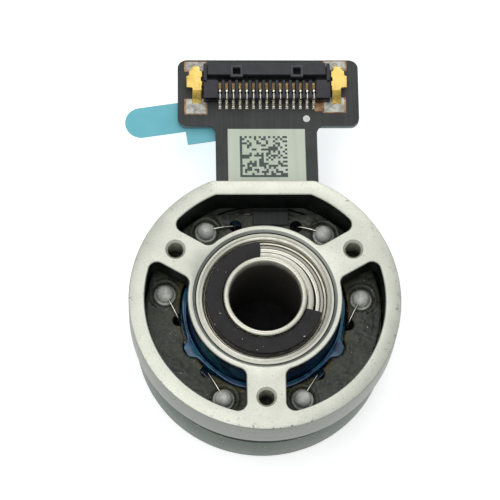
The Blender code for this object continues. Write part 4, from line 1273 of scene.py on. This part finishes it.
def strip(stations, thickness, lift=0.0):
    """A sheet through stations of (y, left, right) that follows the tail, with eased long edges."""
    solid = Solid()
    rows = []
    edge = min(thickness * 0.4, 0.05)
    for y, left, right in stations:
        low = tail_height(y) + lift - thickness / 2
        high = low + thickness
        corners = [(left, low + edge), (left + edge, low), (right - edge, low), (right, low + edge)]
        corners += [(right, high - edge), (right - edge, high), (left + edge, high)]
        corners.append((left, high - edge))
        rows.append([solid.bm.verts.new((x, y, z)) for x, z in corners])
    solid.walls(rows)
    solid.bm.faces.new(rows[0])
    solid.bm.faces.new(rows[-1])
    return solid.bm


def tail_stations():
    left = TAIL_X - TAIL_HALF_WIDTH
    right = TAIL_X + TAIL_HALF_WIDTH
    pad_left = PAD_X - PAD_HALF_WIDTH
    pad_right = PAD_X + PAD_HALF_WIDTH
    fillet = PAD_CORNER_R
    stations = []
    for i in range(25):
        y = ROOT_START_Y + (ROOT_END_Y - ROOT_START_Y) * i / 24
        stations.append((y, ROOT_X - ROOT_HALF_WIDTH, ROOT_X + ROOT_HALF_WIDTH))
    for i in range(1, 9):
        share = eased(i / 8, 0, 1)
        y = ROOT_END_Y + (SHOULDER_Y - ROOT_END_Y) * i / 8
        near = (ROOT_X - ROOT_HALF_WIDTH) * (1 - share) + left * share
        far = (ROOT_X + ROOT_HALF_WIDTH) * (1 - share) + right * share
        stations.append((y, near, far))
    for i in range(1, 61):
        stations.append((SHOULDER_Y + (PAD_LOW_Y - fillet - SHOULDER_Y) * i / 60, left, right))
    for angle in range(6, 84, 6):
        sweep = math.radians(angle)
        out = fillet * (1 - math.cos(sweep))
        stations.append((PAD_LOW_Y - fillet + fillet * math.sin(sweep), left - out, right + out))
    for angle in range(0, 96, 6):
        sweep = math.radians(angle)
        inset = fillet * (1 - math.sin(sweep))
        y = PAD_LOW_Y + fillet * (1 - math.cos(sweep))
        stations.append((y, pad_left + inset, pad_right - inset))
    for angle in range(90, -6, -6):
        sweep = math.radians(angle)
        inset = fillet * (1 - math.sin(sweep))
        y = PAD_HIGH_Y - fillet * (1 - math.cos(sweep))
        stations.append((y, pad_left + inset, pad_right - inset))
    return stations


def module_grid(seed):
    """A made-up grid with a solid left and lower border. It encodes nothing."""
    draw = random.Random(seed)
    end = MODULE_COUNT - 1
    dark = []
    for row in range(MODULE_COUNT):
        for column in range(MODULE_COUNT):
            border = column == 0 or row == 0
            dashed = (row == end and column % 2 == 0) or (column == end and row % 2 == 1)
            inside = 0 < column < end and 0 < row < end and draw.random() < MODULE_SHARE
            if border or dashed or inside:
                dark.append((column, row))
    return sorted(dark)


def label():
    left = LABEL_X - LABEL_HALF_WIDTH
    right = LABEL_X + LABEL_HALF_WIDTH
    length = LABEL_END_Y - LABEL_START_Y
    stations = [(LABEL_START_Y + length * i / 48, left, right) for i in range(49)]
    lift = TAIL_THICKNESS / 2 + LABEL_THICKNESS / 2 + 0.01
    piece("paper_label", strip(stations, LABEL_THICKNESS, lift), [PAPER], "code_label")
    top = lift + LABEL_THICKNESS / 2
    solid = Solid()
    for column, row in module_grid(seed=20):
        x = MODULE_START[0] + column * MODULE_PITCH
        y = MODULE_START[1] + row * MODULE_PITCH
        far = (x + MODULE_PITCH, y + MODULE_PITCH)
        corners = [(x, y), (far[0], y), far, (x, far[1])]
        low = [solid.bm.verts.new((a, b, tail_height(b) + top - 0.004)) for a, b in corners]
        high = [solid.bm.verts.new((a, b, tail_height(b) + top + 0.006)) for a, b in corners]
        solid.wall(low, high)
        solid.bm.faces.new(low)
        solid.bm.faces.new(high)
    piece("label_modules", solid.bm, [INK])


def tail():
    piece("flex_circuit", strip(tail_stations(), TAIL_THICKNESS), [FLEX], "flex_tail")
    centre = (PAD_X, (PAD_LOW_Y + PAD_HIGH_Y) / 2)
    half = (PAD_HALF_WIDTH, (PAD_HIGH_Y - PAD_LOW_Y) / 2)
    outline = rounded_rectangle(*half, PAD_CORNER_R, centre, 12)
    plate = prism([outline], STIFFENER_LOW_Z, STIFFENER_TOP_Z, 0.04)
    piece("stiffener_plate", plate, [STIFFENER], "pad_stiffener")


def printed_dot():
    dot = [(0, -0.01), (0.26, -0.01), (0.265, 0.012), (0.25, 0.022), (0, 0.024)]
    dot = turned([(radius, PAD_TOP_Z + rise) for radius, rise in dot], 48, DOT_CENTRE)
    piece("printed_dot", dot, [WHITE_INK])


def liner():
    """The film's round-ended tab sticks out to the left."""
    along = [LINER_LEFT * i / 12 for i in range(1, 12)]
    outline = arc((0, 0), LINER_TAB_R, 270, 90, 40)
    outline += [(x, LINER_TAB_R) for x in along]
    outline += [(LINER_LEFT, LINER_TAB_R), (LINER_LEFT, LINER_BACK), (LINER_RIGHT, LINER_BACK)]
    outline += [(LINER_RIGHT, LINER_FRONT), (LINER_LEFT, LINER_FRONT), (LINER_LEFT, -LINER_TAB_R)]
    outline += [(x, -LINER_TAB_R) for x in reversed(along)]
    outline.reverse()
    film = prism([outline_of(outline)], LINER_LOW_Z, LINER_TOP_Z, 0.02)
    tilt = Matrix.Rotation(math.radians(LINER_TILT), 4, "Z")
    film = moved(film, Matrix.Translation((*LINER_CENTRE, 0)) @ tilt)
    piece("liner_film", film, [LINER], "release_liner")


# Connector


def contact_centres():
    first = CONNECTOR_X - CONTACT_PITCH * (CONTACT_COUNT - 1) / 2
    return [first + CONTACT_PITCH * i for i in range(CONTACT_COUNT)]


def housing():
    left = CONNECTOR_X - HOUSING_HALF_WIDTH
    right = CONNECTOR_X + HOUSING_HALF_WIDTH
    parts = [block((left, HOUSING_FRONT_Y, BASE_Z), (right, HOUSING_BACK_Y, 5.33), 0.02, 0.04)]
    parts.append(block((left, HOUSING_FRONT_Y, 5.62), (right, BAND_BACK_Y, 5.94), 0.04, 0.05))
    centres = contact_centres()
    walls = [x + CONTACT_PITCH / 2 for x in centres[:-1]]
    for x in walls:
        parts.append(block((x - 0.1, HOUSING_FRONT_Y + 0.02, 5.2), (x + 0.1, WALL_Y, 5.98), 0.02, 0.02))
    first = centres[0] - 0.15
    last = centres[-1] + 0.15
    for near, far in ((left, first), (last, right)):
        parts.append(block((near, HOUSING_FRONT_Y, 5.2), (far, WALL_Y, HOUSING_TOP_Z), 0.04, 0.06))
    for near, far in ((left, left + 0.26), (right - 0.26, right)):
        parts.append(block((near, WALL_Y - 0.2, 5.2), (far, HOUSING_BACK_Y, HOUSING_TOP_Z), 0.04, 0.05))
    parts.append(block((first - 0.1, WALL_Y - 0.1, 5.2), (last + 0.1, WALL_Y, 5.66), 0.02, 0.02))
    # Painted shade: the slot's floor between the contacts and the latch is near black.
    slot = block((first - 0.1, WALL_Y, 5.2), (last + 0.1, LATCH_BACK_Y - 0.3, 5.36), 0.0, 0.02)
    for face in slot.faces:
        face.material_index = 1
    parts.append(slot)
    piece("housing_moulding", joined(parts), [HOUSING, PAINTED_SHADE_BLACK], "connector_housing")


def contacts():
    """Fifteen formed strips: a solder foot, a step through the housing and a plated tongue."""
    front = HOUSING_FRONT_Y
    silver = []
    tongues = []
    for x in contact_centres():
        foot = [(-0.55, 0.01), (-0.1, 0.01), (0, 0.1), (0.06, 0.34), (0.4, 0.37)]
        upper = [(y - 0.02, z + 0.09) for y, z in reversed(foot)]
        outline = [(front + y, BASE_Z + z) for y, z in [*foot, *upper]]
        silver.append(along_x(outline, x - 0.11, x + 0.11, 0.025))
        for y, size in ((-0.4, 0.15), (-0.14, 0.12)):
            bead = [(0, 0.02), (size, 0.02), (size * 0.9, 0.12), (size * 0.5, 0.19), (0, 0.2)]
            bead = [(radius, BASE_Z + z) for radius, z in bead]
            silver.append(turned(bead, 20, (x, front + y)))
        rod = [(-0.06, 0.84), (0.02, 0.9), (0.36, 0.9), (0.45, 0.81), (0.45, 0.71), (-0.06, 0.76)]
        rod = [(front + y, BASE_Z + z) for y, z in rod]
        silver.append(along_x(rod, x - 0.035, x + 0.035, 0.01))
        knob = [(0, 0.4), (0.13, 0.4), (0.15, 0.55), (0.14, 0.68), (0.08, 0.76), (0, 0.78)]
        knob = [(radius, BASE_Z + z) for radius, z in knob]
        silver.append(turned(knob, 20, (x, front + 0.62)))
        tongue = [(0.85, 0.3), (1.4, 0.3), (1.4, 0.5), (1.3, 0.56), (1.1, 0.56), (0.85, 0.46)]
        tongue = [(front + y, BASE_Z + z) for y, z in tongue]
        tongues.append(along_x(tongue, x - 0.12, x + 0.12, 0.02))
    bm = joined(silver)
    count = len(bm.faces)
    whole = joined([bm, joined(tongues)])
    whole.faces.ensure_lookup_table()
    for face in whole.faces[count:]:
        face.material_index = 1
    piece("contact_strips", whole, [WIRE, CONTACT_GOLD], "contact_row")


def latch():
    """The locking bar: a flat bar with two raised window frames and a pin at each end."""
    left = CONNECTOR_X - LATCH_HALF_WIDTH
    right = CONNECTOR_X + LATCH_HALF_WIDTH
    front = LATCH_FRONT_Y - 0.2
    outline = [(left, LATCH_FRONT_Y)]
    holes = []
    frames = []
    for side in (-1, 1):
        x = CONNECTOR_X + side * LATCH_FRAME_X
        outline += [(x - 0.48, LATCH_FRONT_Y), (x - 0.48, front)]
        outline += [(x + 0.48, front), (x + 0.48, LATCH_FRONT_Y)]
        centre = (x, front + 0.48)
        holes.append(rounded_rectangle(0.3, 0.3, 0.05, centre))
        frame_outer = rounded_rectangle(0.47, 0.47, 0.06, centre)
        frame_inner = rounded_rectangle(0.28, 0.28, 0.04, centre)
        # The frames take the lighter painted-light copy of the latch plastic.
        rim = prism([frame_outer, frame_inner], 5.6, 6.0, 0.04)
        for face in rim.faces:
            face.material_index = 2
        frames.append(rim)
        # Painted shade: a near-black plate under each frame's window.
        shade = block((x - 0.29, front + 0.19, 5.47), (x + 0.29, front + 0.77, 5.52), 0.0, 0.02)
        for face in shade.faces:
            face.material_index = 1
        frames.append(shade)
    outline += [(right, LATCH_FRONT_Y), (right, LATCH_BACK_Y), (left, LATCH_BACK_Y)]
    bar = prism([outline, *holes], LATCH_LOW_Z, LATCH_TOP_Z, 0.04)
    pins = []
    pin = circle(0.12, 24, (LATCH_AXIS_Y, LATCH_AXIS_Z))
    for side in (-1, 1):
        reach = sorted(CONNECTOR_X + side * x for x in (LATCH_HALF_WIDTH - 0.3, 4.62))
        pins.append(along_x(pin, *reach))
    piece("locking_bar", joined([bar, *frames, *pins]), [LATCH, PAINTED_SHADE_BLACK, FRAME_PAINTED_LIGHT],
          "connector_latch", body="latch")


def hold_down(name, side, node):
    """A notched gold tab that slopes down to its solder pad."""
    outline = [
        (4.84, 17.5), (5.5, 17.5), (5.58, 17.72), (5.98, 17.76), (6.0, 18.66), (5.82, 18.72),
        (5.8, 19.08), (5.58, 19.14), (5.56, 19.42), (5.0, 19.44), (4.98, 19.1), (4.82, 19.04),
        (4.8, 18.6), (4.9, 18.54), (4.9, 18.28), (4.8, 18.22), (4.8, 17.9), (4.86, 17.84),
    ]
    points = [(CONNECTOR_X + side * x, y) for x, y in outline]
    if side < 0:
        points.reverse()
    plate = prism([points], 5.5, 5.68, 0.05)
    inner, outer = sorted(CONNECTOR_X + side * x for x in (4.88, 5.56))
    slope = [
        (17.6, 5.52), (17.6, 5.68), (17.3, 5.62), (17.0, 5.36), (16.75, 5.2), (16.6, 5.18),
        (16.6, 5.1), (16.85, 5.1), (17.1, 5.22), (17.35, 5.44),
    ]
    tongue = along_x(slope, inner, outer, 0.03)
    # The sloping tongue takes the painted shade.
    for face in tongue.faces:
        face.material_index = 1
    leg_inner, leg_outer = sorted(CONNECTOR_X + side * x for x in (4.95, 5.7))
    leg = block((leg_inner, 17.9, 5.1), (leg_outer, 19.3, 5.52), 0.03, 0.05)
    piece(name, joined([plate, tongue, leg]), [GOLD, GOLD_PAINTED_SHADE], node)


def solder_pads():
    """Tinned pads under the tabs, each on a rim of bare copper."""
    pads = [
        (-4.8, 16.42, 0.74, 0.58), (5.55, 16.55, 0.76, 0.58),
        (-4.8, 19.66, 0.74, 0.36), (5.64, 19.72, 0.78, 0.36),
    ]
    tin = []
    rims = []
    for number, (x, y, half_x, half_y) in enumerate(pads):
        rim = rounded_rectangle(half_x + 0.12, half_y + 0.06, 0.08, (x, y))
        rims.append(prism([rim], PAD_TOP_Z - 0.01, PAD_TOP_Z + 0.02, 0.008))
        bm = prism([rounded_rectangle(half_x, half_y, 0.1, (x, y))], PAD_TOP_Z, PAD_TOP_Z + 0.07, 0.03)
        tin.append(bm)
        hollow = turned([(0.16, 5.13), (0.3, 5.13), (0.27, 5.19), (0.2, 5.19)], 32, (x, y))
        tin.append(hollow)
    patch = rounded_rectangle(0.36, 0.5, 0.1, (4.4, 16.55))
    rims.append(prism([patch], PAD_TOP_Z - 0.01, PAD_TOP_Z + 0.015, 0.006))
    piece("pad_solder", joined(tin), [PAD_TIN])
    piece("pad_copper", joined(rims), [BARE_COPPER])


def carried_over():
    """The CAD nodes that stay get a finish with detail."""
    finishes = {
        "front_bearing_cage": CAGE,
        "rear_bearing_ball_set": CAGE,
        "rear_bearing_inner_race": RACE,
        "rear_bearing_outer_race": RACE,
        "stator_core": LAMINATION,
        "rear_core_insulator": INSULATION,
        "angle_sensor_1": SENSOR,
        "angle_sensor_2": SENSOR,
    }
    for number in range(1, 9):
        finishes[f"front_bearing_ball_{number}"] = LIP
    for name, finish in finishes.items():
        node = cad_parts[name]
        node.data.materials.clear()
        node.data.materials.append(finish)


# Stage


def floor():
    mesh = bpy.data.meshes.new("floor")
    size = 3.0
    low = cad_box[0].z - 0.00002
    corners = [(-size, -size, low), (size, -size, low), (size, size, low), (-size, size, low)]
    mesh.from_pydata(corners, [], [(0, 1, 2, 3)])
    mesh.materials.append(pale_floor())
    obj = bpy.data.objects.new("floor", mesh)
    bpy.context.scene.collection.objects.link(obj)


def area_light(name, place, size, power):
    data = bpy.data.lights.new(name, "AREA")
    data.shape = "DISK"
    data.size = size
    data.energy = power
    obj = bpy.data.objects.new(name, data)
    obj.location = place
    obj.rotation_mode = "QUATERNION"
    obj.rotation_quaternion = (Vector((0, 0.003, 0.005)) - Vector(place)).to_track_quat("-Z", "Y")
    bpy.context.scene.collection.objects.link(obj)


def studio():
    world = bpy.data.worlds.new("studio")
    bpy.context.scene.world = world
    world.use_nodes = True
    world.node_tree.nodes["Background"].inputs["Color"].default_value = (0.96, 0.98, 1.0, 1.0)
    world.node_tree.nodes["Background"].inputs["Strength"].default_value = 0.62
    area_light("key_light", (-0.12, -0.04, 0.42), 0.45, 0.6)
    area_light("back_light", (0.06, 0.3, 0.32), 0.25, 0.3)
    bpy.context.scene.view_settings.view_transform = "Standard"


def camera():
    """The camera looks down at the bracket's face from a little in front and to the left."""
    elevation = math.radians(70.97)
    azimuth = math.radians(-6.9)
    roll = math.radians(6.42)
    flat = math.cos(elevation)
    back = Vector((math.sin(azimuth) * flat, -math.cos(azimuth) * flat, math.sin(elevation)))
    right = Vector((math.cos(azimuth), math.sin(azimuth), 0))
    up = back.cross(right)
    across = right * math.cos(roll) + up * math.sin(roll)
    above = up * math.cos(roll) - right * math.sin(roll)
    face_centre = Vector((0, 0, FACE_Z))
    target = face_centre - across * CAMERA_AIM[0] + above * CAMERA_AIM[1]
    place = face_centre + back * CAMERA_DISTANCE
    data = bpy.data.cameras.new("camera")
    data.sensor_width = 36
    data.lens = data.sensor_width * CAMERA_DISTANCE / VIEW_WIDTH
    data.clip_start = 0.01
    data.clip_end = 20
    obj = bpy.data.objects.new("camera", data)
    obj.location = place * MM
    behind = (place - target).normalized()
    level = (across - behind * across.dot(behind)).normalized()
    axes = Matrix((level, behind.cross(level), behind)).transposed()
    obj.rotation_mode = "QUATERNION"
    obj.rotation_quaternion = axes.to_quaternion()
    bpy.context.scene.collection.objects.link(obj)
    bpy.context.scene.camera = obj


def main():
    noise.seed_set(NOISE_SEED)
    bracket()
    painted_shade_skirt()
    front_bearing()
    bell()
    shaft()
    snap_ring()
    magnets()
    windings()
    insulator()
    board()
    solder_joints()
    tail()
    label()
    printed_dot()
    liner()
    housing()
    contacts()
    latch()
    hold_down("left_tab", -1, "left_hold_down")
    hold_down("right_tab", 1, "right_hold_down")
    solder_pads()
    carried_over()
    floor()
    studio()
    camera()


main()
